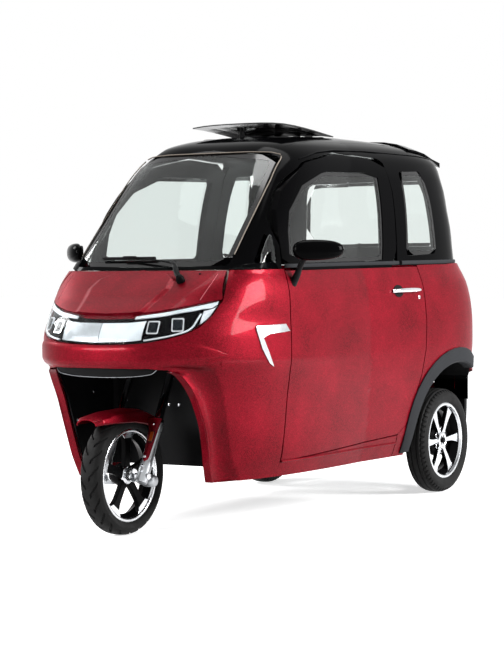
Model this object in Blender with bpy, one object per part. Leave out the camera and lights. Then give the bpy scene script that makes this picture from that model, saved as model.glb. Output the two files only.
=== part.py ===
"""Electric microcar: a narrow three-wheeled cabin vehicle with a motorcycle fork in front.

Metres, +Z up, the nose towards -Y, the vehicle's left side towards +X. The ground is Z = 0.
The outer skin is one surface of stacked superellipses. Every panel and pane is a patch of
that skin with its own wall thickness, so neighbours meet along the real shut lines.
"""

import math
from dataclasses import dataclass

import bmesh
import bpy
import numpy as np
from mathutils import Matrix, Vector

# Overall sizes
LENGTH = 2.25
BODY_HALF_WIDTH = 0.518
BELT_HEIGHT = 1.02
ROOF_HEIGHT = 1.583
SILL_BOTTOM = 0.20
NOSE_Y = -LENGTH / 2
TAIL_Y = LENGTH / 2
WIDEST_Y = NOSE_Y + 0.54444 * LENGTH
REAR_FLARE = 0.078

FORWARDS = (0, -1, 0)
REARWARDS = (0, 1, 0)

# Y and height that cutters of the greenhouse start from and reach to
BEFORE_ALL = (NOSE_Y - 0.1, BELT_HEIGHT - 0.1)
BEYOND_ALL = (TAIL_Y + 0.2, ROOF_HEIGHT + 0.15)

# Gaps
SEAT_GAP = 0.0005
SHUT_GAP = 0.0055
RUNNING_GAP = 0.0005

# Wall thicknesses
DOOR_WALL = 0.034
BODY_WALL = 0.030
ROOF_WALL = 0.026
ROOF_SEAM_X = 0.30
RAIL_SEAM_X = 0.355
SEAM_STEP = BELT_HEIGHT + 0.17762 * (ROOF_HEIGHT - BELT_HEIGHT)
GLASS = 0.005
GLASS_RECESS = 0.003
SHEET = 0.006

# Wheels
TYRE_RADIUS = 0.232
FRONT_TYRE_WIDTH = 0.096
REAR_TYRE_WIDTH = 0.105
FRONT_RIM_RADIUS = 0.178
REAR_RIM_RADIUS = 0.165
FRONT_AXLE_Y = NOSE_Y + 0.07067 * LENGTH
REAR_AXLE_Y = TAIL_Y - 0.136 * LENGTH
REAR_WHEEL_X = 0.4525
AXLE_PIN_RADIUS = 0.009
WHEEL_SEGMENTS = 24

# Steering
RAKE = math.radians(28.0)
FORK_OFFSET = 0.036
STANCHION_X = 0.096
STANCHION_RADIUS = 0.0155
LOWER_LEG_RADIUS = 0.023
LOWER_LEG_TOP = 0.225
YOKE_LOW = 0.475
YOKE_THICKNESS = 0.035
HEAD_TUBE_LENGTH = 0.15
HEAD_TUBE_RADIUS = 0.027
STEM_RADIUS = 0.016
STEM_TOP = 0.855
HANDLEBAR_HALF_WIDTH = 0.29
HANDLEBAR_SWEEP = 0.13
HANDLEBAR_RISE = 0.03

# Front opening and lamp band, heights on the skin
LIP_HEIGHT = BELT_HEIGHT - 0.365
LAMP_LOW = BELT_HEIGHT - 0.276
LAMP_HIGH = BELT_HEIGHT - 0.168
LAMP_TIP_X = 0.402
LAMP_TIP_HEIGHT = BELT_HEIGHT - 0.115
COWL_CORNER_X = 0.372
LEG_INNER_X = 0.318

# Doors
DOOR_FRONT_Y = NOSE_Y + 0.27333 * LENGTH
DOOR_REAR_Y = NOSE_Y + 0.73911 * LENGTH
DOOR_FRAME_REAR_Y = DOOR_REAR_Y - 0.15
DOOR_LOW_FRONT = 0.262
DOOR_LOW_REAR = 0.298
DOOR_LOW_REAR_Y = DOOR_REAR_Y - 0.191
DOOR_TOP = BELT_HEIGHT - 0.0075
HINGE_HEIGHTS = (0.52, 0.80)
HINGE_GAP = 0.0004
FRAME_BAR = 0.052

# Rear wheel arch
ARCH_RADIUS = 0.378
ARCH_MOULDING = 0.040
ARCH_PROUD = 0.011
ARCH_SEGMENTS = 72

# Boot lid and tail
BOOT_HALF_WIDTH = 0.345
BOOT_LOW = 0.475
BOOT_HIGH = BELT_HEIGHT - 0.095
BUMPER_LOW = 0.27
BUMPER_HIGH = 0.445
BUMPER_HALF_WIDTH = 0.47
BUMPER_WALL = 0.022

# Sunroof
SUNROOF_FRONT_Y = NOSE_Y + 0.46533 * LENGTH
SUNROOF_REAR_Y = NOSE_Y + 0.62889 * LENGTH
SUNROOF_HALF_WIDTH = 0.205
SUNROOF_OVERLAP = 0.022
PANE_LIFT = 0.006
SUNROOF_TILT = math.radians(7.0)

# Front liner
LINER_BACK = NOSE_Y + 0.23311 * LENGTH
LINER_TOP = LAMP_LOW - 0.010

# Chassis
RAIL_X = 0.22
RAIL_WIDTH = 0.03
RAIL_HEIGHT = 0.045
RAIL_LOW = 0.235
RAIL_REAR_LOW = 0.395
KICK_FRONT_Y = NOSE_Y + 0.68667 * LENGTH
KICK_REAR_Y = KICK_FRONT_Y + 0.16
FLOOR_THICKNESS = 0.008


@dataclass
class Slice:
    """One horizontal section of the skin, given by its insets from the overall sizes."""

    height: float
    nose_inset: float
    tail_inset: float
    side_inset: float
    nose_power: float
    tail_power: float


def up(share):
    """Height at this share of the way from the belt to the roof."""
    return BELT_HEIGHT + share * (ROOF_HEIGHT - BELT_HEIGHT)


def along(share):
    """Y at this share of the way from nose to tail."""
    return NOSE_Y + share * LENGTH


def on_side(corners):
    """Corners given as share of the length, share of belt to roof, and radius."""
    return [(along(y), up(z), radius) for y, z, radius in corners]


def on_end(corners):
    """Corners given as X, share of belt to roof, and radius."""
    return [(x, up(z), radius) for x, z, radius in corners]


def slices(low, high, rows):
    """Slices between two heights from rows whose first column is the share of the way up."""
    return [Slice(low + row[0] * (high - low), row[1] * LENGTH, row[2] * LENGTH, *row[3:])
            for row in rows]


# share of height, nose and tail inset as shares of the length, side inset, nose and tail power
LOWER_SLICES = slices(SILL_BOTTOM, BELT_HEIGHT, [
    (0.000, 0.06444, 0.02000, 0.063, 2.8, 10.0),
    (0.122, 0.05111, 0.01111, 0.033, 2.8, 10.0),
    (0.366, 0.02222, 0.00533, 0.013, 2.8, 8.5),
    (0.512, 0.00889, 0.00222, 0.003, 3.0, 7.0),
    (0.579, 0.00222, 0.00133, 0.000, 3.2, 7.0),
    (0.671, 0.00222, 0.00133, 0.000, 3.2, 7.0),
    (0.756, 0.01556, 0.00222, 0.003, 3.3, 7.0),
    (0.878, 0.07778, 0.01111, 0.013, 4.4, 7.0),
    (1.000, 0.14444, 0.02222, 0.043, 7.0, 6.5),
])
UPPER_SLICES = slices(BELT_HEIGHT, ROOF_HEIGHT, [
    (0.000, 0.15111, 0.01778, 0.052, 8.0, 6.0),
    (0.178, 0.19333, 0.02000, 0.058, 7.5, 6.0),
    (0.409, 0.24889, 0.02667, 0.071, 6.8, 6.0),
    (0.675, 0.31111, 0.03111, 0.100, 5.8, 6.0),
    (0.799, 0.34222, 0.02889, 0.126, 5.2, 5.5),
    (0.888, 0.36889, 0.04667, 0.168, 4.6, 4.6),
    (0.950, 0.41556, 0.10000, 0.238, 3.8, 3.8),
    (0.986, 0.49111, 0.22444, 0.328, 2.8, 2.8),
    (1.000, 0.54444, 0.35333, 0.498, 2.2, 2.2),
])


# Skin mathematics

def smooth(at, places, values):
    """Monotone cubic curve through a table: slopes are the harmonic mean of their neighbours'."""
    places, values = np.asarray(places, float), np.asarray(values, float)
    at = np.clip(at, places[0], places[-1])
    step = np.diff(places)
    rise = np.diff(values) / step
    slope = np.zeros(len(places))
    slope[0], slope[-1] = rise[0], rise[-1]
    for i in range(1, len(places) - 1):
        if rise[i - 1] * rise[i] > 0:
            slope[i] = 2 / (1 / rise[i - 1] + 1 / rise[i])
    i = np.clip(np.searchsorted(places, at, side="right") - 1, 0, len(step) - 1)
    t = (at - places[i]) / step[i]
    return ((1 + 2 * t) * (1 - t) ** 2 * values[i] + t * (1 - t) ** 2 * step[i] * slope[i]
            + t * t * (3 - 2 * t) * values[i + 1] + t * t * (t - 1) * step[i] * slope[i + 1])


class Skin:
    """A closed surface whose horizontal sections are superellipses that widen to the rear."""

    def __init__(self, rows):
        self.heights = [row.height for row in rows]
        self.columns = {
            "nose": [NOSE_Y + row.nose_inset for row in rows],
            "tail": [TAIL_Y - row.tail_inset for row in rows],
            "half": [BODY_HALF_WIDTH - row.side_inset for row in rows],
            "nose_power": [row.nose_power for row in rows],
            "tail_power": [row.tail_power for row in rows],
        }

    def value(self, column, z):
        return smooth(z, self.heights, self.columns[column])

    def half_width(self, y, z):
        """Largest half width at this Y before the ends round off."""
        half = self.value("half", z)
        middle = self.middle(z)
        return half + REAR_FLARE * np.clip(y - middle, 0, 1) * half / BODY_HALF_WIDTH

    def middle(self, z):
        """The Y of the section's widest place. It drifts to the rear near the roof's crown."""
        return WIDEST_Y + 1.05 * np.maximum(0, z - (ROOF_HEIGHT - 0.18))

    def side_x(self, y, z):
        y, z = np.asarray(y, float), np.asarray(z, float)
        middle = self.middle(z)
        ahead = y < middle
        reach = np.where(ahead, middle - self.value("nose", z), self.value("tail", z) - middle)
        power = np.where(ahead, self.value("nose_power", z), self.value("tail_power", z))
        share = np.clip(np.abs(y - middle) / reach, 0, 1)
        return (1 - share ** power) ** (1 / power) * self.half_width(y, z)

    def end_y(self, x, z, rear=False):
        """Front or rear surface's Y at this X and height."""
        x, z = np.abs(np.asarray(x, float)), np.asarray(z, float)
        middle = self.middle(z)
        end = self.value("tail" if rear else "nose", z)
        power = self.value("tail_power" if rear else "nose_power", z)
        y = np.broadcast_to(end, np.broadcast(x, z).shape).copy()
        for _ in range(12):
            share = np.clip(x / self.half_width(y, z), 0, 1)
            y = middle + (end - middle) * (1 - share ** power) ** (1 / power)
        return y

    def roof_z(self, x, y):
        """Height of the skin above this X and Y, by bisection."""
        x, y = np.broadcast_arrays(np.abs(np.asarray(x, float)), np.asarray(y, float))
        low = np.full(x.shape, self.heights[0])
        high = np.full(x.shape, self.heights[-1])
        for _ in range(40):
            middle = (low + high) / 2
            inside = self.level(x, y, middle) < 1
            low = np.where(inside, middle, low)
            high = np.where(inside, high, middle)
        return (low + high) / 2

    def level(self, x, y, z):
        """Below 1 inside the section and above 1 outside it."""
        middle = self.middle(z)
        ahead = y < middle
        reach = np.where(ahead, middle - self.value("nose", z), self.value("tail", z) - middle)
        power = np.where(ahead, self.value("nose_power", z), self.value("tail_power", z))
        return (np.abs(x / self.half_width(y, z)) ** power
                + np.abs((y - middle) / reach) ** power)

    def normal(self, points):
        """Outward normals from the slope of the level function."""
        step = 1e-4
        slopes = []
        for axis in range(3):
            move = np.zeros(3)
            move[axis] = step
            ahead, behind = points + move, points - move
            slopes.append(self.level(*np.moveaxis(ahead, -1, 0))
                          - self.level(*np.moveaxis(behind, -1, 0)))
        normal = np.stack(slopes, -1)
        return normal / np.maximum(np.linalg.norm(normal, axis=-1, keepdims=True), 1e-12)

    def side(self, y, z, hand=1):
        y, z = np.broadcast_arrays(np.asarray(y, float), np.asarray(z, float))
        return np.stack([hand * self.side_x(y, z), y, z], -1)

    def end(self, x, z, rear=False):
        x, z = np.broadcast_arrays(np.asarray(x, float), np.asarray(z, float))
        return np.stack([x, self.end_y(x, z, rear), z], -1)

    def around(self, turn, z):
        """Point at a superellipse angle: 0 is the nose, a quarter the left side, a half the tail."""
        turn, z = np.broadcast_arrays(np.asarray(turn, float), np.asarray(z, float))
        c, s = np.cos(2 * np.pi * turn), np.sin(2 * np.pi * turn)
        middle = self.middle(z)
        ahead = c > 0
        power = np.where(ahead, self.value("nose_power", z), self.value("tail_power", z))
        k = (np.abs(c) ** power + np.abs(s) ** power) ** (-1 / power)
        reach = np.where(ahead, middle - self.value("nose", z), self.value("tail", z) - middle)
        y = middle - c * k * reach
        return np.stack([s * k * self.half_width(y, z), y, z], -1)

    def turn_at_y(self, y, z, rear=False):
        """The angle of around() at which the left side passes this Y."""
        y, z = np.broadcast_arrays(np.asarray(y, float), np.asarray(z, float))
        low, high = (0.25, 0.5) if rear else (0.0, 0.25)
        low, high = np.full(y.shape, low), np.full(y.shape, high)
        for _ in range(40):
            middle = (low + high) / 2
            short = self.around(middle, z)[..., 1] < y
            low = np.where(short, middle, low)
            high = np.where(short, high, middle)
        return (low + high) / 2


LOWER = Skin(LOWER_SLICES)
UPPER = Skin(UPPER_SLICES)

BOOT_HINGE_Y = float(LOWER.end_y(0, BOOT_HIGH, True))

# The front tyre reaches past the nose. This move puts the middle of the whole length at Y = 0.
FRONT_MOST = FRONT_AXLE_Y - TYRE_RADIUS
REAR_MOST = TAIL_Y - min(row.tail_inset for row in LOWER_SLICES)
CENTRING = -(FRONT_MOST + REAR_MOST) / 2


# Meshes and objects

def clear_scene():
    for item in list(bpy.data.objects):
        bpy.data.objects.remove(item)


def make_material(name, colour, roughness, metallic=0.0, alpha=1.0):
    material = bpy.data.materials.new(name)
    material.use_nodes = True
    shader = material.node_tree.nodes["Principled BSDF"]
    shader.inputs["Base Color"].default_value = (*colour, 1)
    shader.inputs["Roughness"].default_value = roughness
    shader.inputs["Metallic"].default_value = metallic
    shader.inputs["Alpha"].default_value = alpha
    material.diffuse_color = (*colour, alpha)
    return material


def add_mesh(name, points, faces, material, smooth_angle=35):
    """A closed mesh object whose faces are turned outwards."""
    mesh = bpy.data.meshes.new(name)
    mesh.from_pydata([tuple(map(float, p)) for p in points], [], faces)
    work = bmesh.new()
    work.from_mesh(mesh)
    bmesh.ops.remove_doubles(work, verts=work.verts, dist=1e-6)
    bmesh.ops.recalc_face_normals(work, faces=work.faces)
    work.to_mesh(mesh)
    work.free()
    mesh.shade_smooth()
    mesh.set_sharp_from_angle(angle=math.radians(smooth_angle))
    item = bpy.data.objects.new(name, mesh)
    bpy.context.scene.collection.objects.link(item)
    item.data.materials.append(material)
    return item


def helper(item):
    """Marks a solid as a tool for Booleans."""
    item.hide_render = True
    item.display_type = "WIRE"
    return item


def boolean(item, tool, operation="DIFFERENCE"):
    modifier = item.modifiers.new(f"{operation.lower()} {tool.name}", "BOOLEAN")
    modifier.operation = operation
    modifier.object = helper(tool)
    modifier.solver = "EXACT"
    return item


def fuse(item, *tools):
    for tool in tools:
        boolean(item, tool, "UNION")
    return item


def slab(name, outer, inner, material, wrap=False, cap=False):
    """Solid between two matching grids of points, rows by columns.

    wrap joins the last column to the first. cap closes the first row, which has shrunk to a
    point on each face, and leaves a rim along the last row only.
    """
    rows, cols = outer.shape[:2]
    points = np.concatenate([outer.reshape(-1, 3), inner.reshape(-1, 3)])
    back = rows * cols
    faces = []

    def quad(a, b, c, d):
        ring = [a, b, c, d]
        faces.append([p for i, p in enumerate(ring) if p not in ring[:i]])

    last = cols if wrap else cols - 1
    for r in range(rows - 1):
        for c in range(last):
            n = (c + 1) % cols
            a, b, d, e = r * cols + c, r * cols + n, (r + 1) * cols + n, (r + 1) * cols + c
            if cap and r == 0:
                faces.append([0, d, e])
                faces.append([back, back + e, back + d])
            else:
                quad(a, b, d, e)
                quad(back + e, back + d, back + b, back + a)
    for c in range(last):
        n = (c + 1) % cols
        top = (rows - 1) * cols
        faces.append([top + c, top + n, back + top + n, back + top + c])
        if not cap:
            faces.append([n, c, back + c, back + n])
    if not wrap:
        for r in range(rows - 1):
            a, b = r * cols, (r + 1) * cols
            faces.append([a, b, back + b, back + a])
            a, b = a + cols - 1, b + cols - 1
            faces.append([b, a, back + a, back + b])
    if cap:
        spare = set(range(1, cols)) | set(range(back + 1, back + cols))
        keep = [i for i in range(len(points)) if i not in spare]
        index = {old: new for new, old in enumerate(keep)}
        points = points[keep]
        faces = [[index[p] for p in face] for face in faces]
    return add_mesh(name, points, faces, material)


def skin_slab(name, skin, outer, depth, material, recess=0.0, outward=None, level_top=False,
              **shape):
    """Solid panel on the skin: from recess below it to recess + depth below it.

    Depth runs along the skin's normal, or along a fixed outward direction where a piece fits
    an opening with straight walls. level_top keeps the last row's edge face level.
    """
    normal = skin.normal(outer) if outward is None else np.asarray(outward, float)
    inner = outer - (recess + depth) * normal
    if level_top:
        inner[-1, :, 2] = outer[-1, :, 2]
    return slab(name, outer - recess * normal, inner, material, **shape)


def prism(name, outline, axis, low, high, material):
    """Outline of (a, b) pairs, extruded along an axis. Pairs are the two other axes in order."""
    outline = np.asarray(outline, float)
    count = len(outline)
    points = np.zeros((2, count, 3))
    others = [i for i in range(3) if i != axis]
    for k, level in enumerate((low, high)):
        points[k, :, axis] = level
        points[k, :, others[0]] = outline[:, 0]
        points[k, :, others[1]] = outline[:, 1]
    faces = [list(range(count)), list(range(count, 2 * count))[::-1]]
    for i in range(count):
        n = (i + 1) % count
        faces.append([n, i, count + i, count + n])
    return add_mesh(name, points.reshape(-1, 3), faces, material)


def block(name, low, high, material):
    outline = [(low[0], low[1]), (high[0], low[1]), (high[0], high[1]), (low[0], high[1])]
    return prism(name, outline, 2, low[2], high[2], material)


def turned(name, profile, material, segments=WHEEL_SEGMENTS, along=0, centre=(0, 0, 0)):
    """Closed (place, radius) profile turned about an axis. Points at radius 0 make poles."""
    profile = np.asarray(profile, float)
    angle = np.arange(segments) * 2 * np.pi / segments
    points = np.zeros((len(profile), segments, 3))
    a, b = [i for i in range(3) if i != along]
    points[..., along] = profile[:, :1]
    points[..., a] = profile[:, 1:] * np.cos(angle)
    points[..., b] = profile[:, 1:] * np.sin(angle)
    points += np.asarray(centre)
    faces = []
    for i in range(len(profile)):
        k = (i + 1) % len(profile)
        if profile[i, 1] == 0 and profile[k, 1] == 0:
            continue
        for j in range(segments):
            n = (j + 1) % segments
            faces.append([i * segments + j, i * segments + n, k * segments + n, k * segments + j])
    flat = points.reshape(-1, 3)
    return add_mesh(name, *collapse(flat, faces), material)


def collapse(points, faces):
    """Merges points that coincide and drops a face's repeated corners."""
    _, first, index = np.unique(np.round(points, 7), axis=0, return_index=True, return_inverse=True)
    index = index.reshape(-1)
    out = []
    for face in faces:
        ring = [int(index[p]) for p in face]
        ring = [p for i, p in enumerate(ring) if p != ring[i - 1]]
        if len(set(ring)) > 2:
            out.append(ring)
    return points[first], out


def rod(name, start, end, radius, material, sides=12, end_radius=None):
    """Round bar, or cone, between two points."""
    start, end = np.asarray(start, float), np.asarray(end, float)
    along = end - start
    along /= np.linalg.norm(along)
    across = np.cross(along, (0, 0, 1) if abs(along[2]) < 0.9 else (1, 0, 0))
    across /= np.linalg.norm(across)
    other = np.cross(along, across)
    angle = (np.arange(sides) + 0.5) * 2 * np.pi / sides
    ring = np.cos(angle)[:, None] * across + np.sin(angle)[:, None] * other
    last = radius if end_radius is None else end_radius
    points = np.concatenate([start + radius * ring, end + last * ring])
    faces = [list(range(sides))[::-1], list(range(sides, 2 * sides))]
    faces += [[i, (i + 1) % sides, sides + (i + 1) % sides, sides + i] for i in range(sides)]
    return add_mesh(name, points, faces, material)


def sweep(name, path, radii, material, sides=10):
    """Round tube along a path of points, with a radius at each."""
    path = np.asarray(path, float)
    along = np.gradient(path, axis=0)
    along /= np.linalg.norm(along, axis=1)[:, None]
    side = np.cross(along, (0, 0, 1))
    side /= np.linalg.norm(side, axis=1)[:, None]
    up = np.cross(side, along)
    angle = np.arange(sides) * 2 * np.pi / sides
    radii = np.broadcast_to(radii, len(path))[:, None, None]
    ring = path[:, None] + radii * (np.cos(angle)[None, :, None] * side[:, None]
                                    + np.sin(angle)[None, :, None] * up[:, None])
    count = len(path)
    faces = [list(range(sides)), list(range((count - 1) * sides, count * sides))[::-1]]
    for i in range(count - 1):
        for j in range(sides):
            n = (j + 1) % sides
            faces.append([i * sides + j, i * sides + n, (i + 1) * sides + n, (i + 1) * sides + j])
    return add_mesh(name, ring.reshape(-1, 3), faces, material)


# Outlines

def rounded(corners, steps=4):
    """Closed outline through corners of (a, b, radius), each rounded by an arc."""
    out = []
    places = [np.array(c[:2], float) for c in corners]
    for i, (place, corner) in enumerate(zip(places, corners)):
        before, after = places[i - 1] - place, places[(i + 1) % len(places)] - place
        u, v = before / np.linalg.norm(before), after / np.linalg.norm(after)
        half = math.acos(float(np.clip(u @ v, -1, 1))) / 2
        room = 0.45 * min(np.linalg.norm(before), np.linalg.norm(after))
        reach = min(corner[2] / math.tan(half) if half < 1.5 else corner[2], room)
        start, end = place + u * reach, place + v * reach
        for k in range(steps + 1):
            t = k / steps
            out.append((1 - t) ** 2 * start + 2 * t * (1 - t) * place + t * t * end)
    return np.array(out)


def grown(outline, distance):
    """The outline moved outwards by a distance along the mean normal at each corner."""
    before, after = np.roll(outline, 1, 0), np.roll(outline, -1, 0)
    area = np.sum(outline[:, 0] * after[:, 1] - after[:, 0] * outline[:, 1])
    turn = np.sign(area)

    def normals(step):
        length = np.maximum(np.linalg.norm(step, axis=1, keepdims=True), 1e-12)
        return turn * np.stack([step[:, 1], -step[:, 0]], 1) / length

    first, second = normals(outline - before), normals(after - outline)
    mean = first + second
    mean /= np.maximum(np.linalg.norm(mean, axis=1, keepdims=True), 1e-9)
    spread = np.clip(np.sum(mean * second, axis=1, keepdims=True), 0.4, 1)
    return outline + distance * mean / spread


def spokes_of(outline, centre, angles):
    """Where rays from a centre cross an outline, one point for each angle."""
    outline = np.asarray(outline) - centre
    after = np.roll(outline, -1, 0)
    found = []
    for angle in angles:
        ray = np.array([math.cos(angle), math.sin(angle)])
        first = ray[0] * outline[:, 1] - ray[1] * outline[:, 0]
        second = ray[0] * after[:, 1] - ray[1] * after[:, 0]
        crossing = first * second <= 0
        share = first / np.where(np.abs(first - second) < 1e-12, 1e-12, first - second)
        hit = outline + share[:, None] * (after - outline)
        distance = np.where(crossing & (hit @ ray > 0), hit @ ray, 0)
        found.append(centre + ray * distance.max())
    return np.array(found)


def pane(name, skin, outline, view, material, depth=GLASS, recess=GLASS_RECESS,
         count=24, rings=(0, 0.5, 1), centre=None):
    """Pane or cover on the skin: rings of points that shrink from the outline to its centre.

    view is the outward direction along which the outline is seen: (1, 0, 0) for the left side.
    """
    outline = grown(outline, -SEAT_GAP)
    if centre is None:
        centre = (outline.min(axis=0) + outline.max(axis=0)) / 2
    edge = spokes_of(outline, centre, even_angles(count))
    flat = np.array([centre + share * (edge - centre) for share in rings])
    outer = seen_on(skin, flat, view)
    return skin_slab(name, skin, outer, depth, material, recess, view, wrap=True, cap=True)


def even_angles(count):
    return (np.arange(count) + 0.5) * 2 * np.pi / count


def seen_on(skin, flat, view):
    """Skin points behind outline pairs: (Y, height) seen from a side, (X, height) from an end."""
    if view[0]:
        return skin.side(flat[..., 0], flat[..., 1], view[0])
    return skin.end(flat[..., 0], flat[..., 1], rear=view[1] > 0)


# Outlines on the skin, in (Y, height) on the sides and (X, height) at the ends

DOOR_FRAME_OUTLINE = rounded([
    (DOOR_FRONT_Y, DOOR_TOP + SEAT_GAP, 0.004),
    (DOOR_FRAME_REAR_Y, DOOR_TOP + SEAT_GAP, 0.004),
    (DOOR_FRAME_REAR_Y + 0.030, up(0.57726), 0.10),
    (DOOR_FRAME_REAR_Y + 0.022, up(0.80817), 0.035),
    (along(0.52222), up(0.83837), 0.10),
    (along(0.40444), up(0.76021), 0.10),
    (along(0.32222), up(0.57726), 0.06),
    (DOOR_FRONT_Y, up(0.34636), 0.06),
])
DOOR_GLASS_OUTLINE = rounded([
    (DOOR_FRONT_Y + FRAME_BAR, up(0.03908), 0.012),
    (DOOR_FRAME_REAR_Y - 0.100, up(0.03908), 0.02),
    (DOOR_FRAME_REAR_Y - 0.066, up(0.56838), 0.10),
    (DOOR_FRAME_REAR_Y - 0.058, up(0.7016), 0.02),
    (along(0.45556), up(0.69627), 0.10),
    (along(0.37333), up(0.59503), 0.06),
    (DOOR_FRONT_Y + FRAME_BAR + 0.018, up(0.36412), 0.06),
])
DOOR_WINDOW_CENTRE = np.array([along(0.49111), up(0.33748)])
DOOR_RAYS = 32
VENT_OUTLINE = rounded(on_side([(0.21111, 0.0444, 0.01), (0.25778, 0.0444, 0.01),
                                (0.25778, 0.26643, 0.01)]))
QUARTER_OUTLINE = rounded(on_side([
    (0.71244, 0.07105, 0.02), (0.82978, 0.08526, 0.03), (0.828, 0.49734, 0.10),
    (0.81644, 0.73179, 0.02), (0.73111, 0.72114, 0.02),
]))
WINDSHIELD_OUTLINE = rounded(on_end([
    (-0.362, 0.02842, 0.02), (0, 0.02309, 0.10), (0.362, 0.02842, 0.02),
    (0.352, 0.49734, 0.20), (0.325, 0.80817, 0.035), (0, 0.86679, 0.15), (-0.325, 0.80817, 0.035),
    (-0.352, 0.49734, 0.20),
]))
REAR_WINDOW_OUTLINE = rounded(on_end([
    (-0.36, 0.1421, 0.04), (0.36, 0.1421, 0.04), (0.33, 0.67496, 0.05), (-0.33, 0.67496, 0.05),
]))


def door_rear_edge(z):
    """Y of the door's rear shut line: it follows the wheel arch below."""
    heights = [DOOR_LOW_REAR, 0.327, 0.48, 0.608, 0.764, BELT_HEIGHT]
    steps = [DOOR_LOW_REAR_Y - DOOR_REAR_Y, -0.134, -0.058, -0.014, 0.0, -0.005]
    return DOOR_REAR_Y + smooth(z, heights, steps)


def door_rear_heights():
    """Heights of the corners that door and rear body share along the rear shut line."""
    shares = np.array([0, 0.05, 0.125, 0.22, 0.35, 0.50, 0.68, 0.85, 1])
    return DOOR_LOW_REAR + shares * (DOOR_TOP - DOOR_LOW_REAR)


def door_low_edge(y):
    return np.interp(y, [DOOR_FRONT_Y, DOOR_LOW_REAR_Y], [DOOR_LOW_FRONT, DOOR_LOW_REAR])


def lamp_low_edge(x):
    places = [0, 0.16, 0.26, 0.34, 0.385, LAMP_TIP_X]
    return smooth(np.abs(x), places, [LAMP_LOW, LAMP_LOW + 0.004, LAMP_LOW + 0.018,
                                      LAMP_LOW + 0.045, LAMP_LOW + 0.09, LAMP_TIP_HEIGHT])


def lamp_high_edge(x):
    places = [0, 0.12, 0.25, LAMP_TIP_X]
    return smooth(np.abs(x), places, [LAMP_HIGH, LAMP_HIGH + 0.004, LAMP_HIGH + 0.022,
                                      LAMP_TIP_HEIGHT + 0.004])


# Body panels

def front_panel(paint):
    """Nose band, fenders and legs in one piece, from door to door."""
    leg = front_share(LEG_INNER_X, SILL_BOTTOM)
    tip, corner = band_shares()[-1], cowl_share()
    shares = np.concatenate([band_shares(), [corner], np.linspace(corner, 1, 6)[1:]])
    opening = [0, 0.60, 0.74, 0.84, 0.91, 0.96, 1]
    heights = [LIP_HEIGHT, LIP_HEIGHT, LIP_HEIGHT - 0.012, LIP_HEIGHT - 0.055, 0.48, 0.35, SILL_BOTTOM]
    low = np.where(shares < leg, smooth(shares / leg, opening, heights), SILL_BOTTOM)
    high = np.array([band_height(s) - 4 * SEAT_GAP if s < tip else BELT_HEIGHT for s in shares])
    high[len(band_shares()) - 1] = LAMP_TIP_HEIGHT - 4 * SEAT_GAP
    rows = np.array([0, 0.2, 0.4, 0.6, 0.8, 1])[:, None]
    z = low + rows * (high - low)
    left = front_around(shares, z)
    mirror = left[:, :0:-1] * np.array([-1, 1, 1])
    outer = np.concatenate([mirror, left], axis=1)
    return skin_slab("front_panel", LOWER, outer, BODY_WALL, paint)


def band_shares():
    """Shares of the front skin at which the lamp band and the front panel meet in corners."""
    leg = front_share(LEG_INNER_X, SILL_BOTTOM)
    tip = front_share(LAMP_TIP_X + 3 * SEAT_GAP, LAMP_TIP_HEIGHT)
    places = leg * np.array([0, 0.30, 0.54, 0.70, 0.80, 0.87, 0.93, 1])
    return np.concatenate([places, np.linspace(leg, tip, 5)[1:]])


def cowl_share():
    return max(front_share(COWL_CORNER_X + 3 * SEAT_GAP, BELT_HEIGHT), band_shares()[-1] + 0.012)


def band_height(share):
    """Height of the lamp's lower edge at this share of the front skin."""
    z = LAMP_LOW
    for _ in range(30):
        z = float(lamp_low_edge(front_around(share, z)[0]))
    return z


def band_places():
    """X of the corners along the lamp band, from right to left."""
    half = [float(front_around(s, band_height(s))[0]) for s in band_shares()]
    half = np.minimum(np.array(half), LAMP_TIP_X - 2 * SEAT_GAP)
    return np.concatenate([-half[:0:-1], half])


def front_around(share, z):
    """Left front skin: share 0 is the nose's middle, 1 is the door's front edge."""
    limit = LOWER.turn_at_y(DOOR_FRONT_Y - SHUT_GAP, z)
    return LOWER.around(share * limit, z)


def front_share(x, z):
    """The share of front_around at which the skin is this wide."""
    low, high = 0.0, 1.0
    for _ in range(40):
        middle = (low + high) / 2
        if front_around(middle, z)[0] < x:
            low = middle
        else:
            high = middle
    return (low + high) / 2


def bonnet(paint):
    """Sloping lid between the lamp band and the windscreen."""
    rows = np.array([0, 0.25, 0.5, 0.75, 1])[:, None]
    low_x = band_places()
    low = lamp_high_edge(low_x) + 4 * SEAT_GAP
    z = low + rows * (BELT_HEIGHT - SEAT_GAP - low)
    top_x = low_x / low_x.max() * (COWL_CORNER_X - 2 * SEAT_GAP)
    x = low_x + rows * (top_x - low_x)
    return skin_slab("bonnet", LOWER, LOWER.end(x, z), BODY_WALL, paint)


def lamp_unit(material):
    """Full-width headlamp band."""
    x = band_places()
    low, high = lamp_low_edge(x), lamp_high_edge(x)
    high = np.maximum(high - SEAT_GAP, low + 0.002)
    rows = np.linspace(0, 1, 3)[:, None]
    z = low + rows * (high - low)
    return skin_slab("front_lamps", LOWER, LOWER.end(x, z), BODY_WALL, material, recess=0.001)


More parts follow.
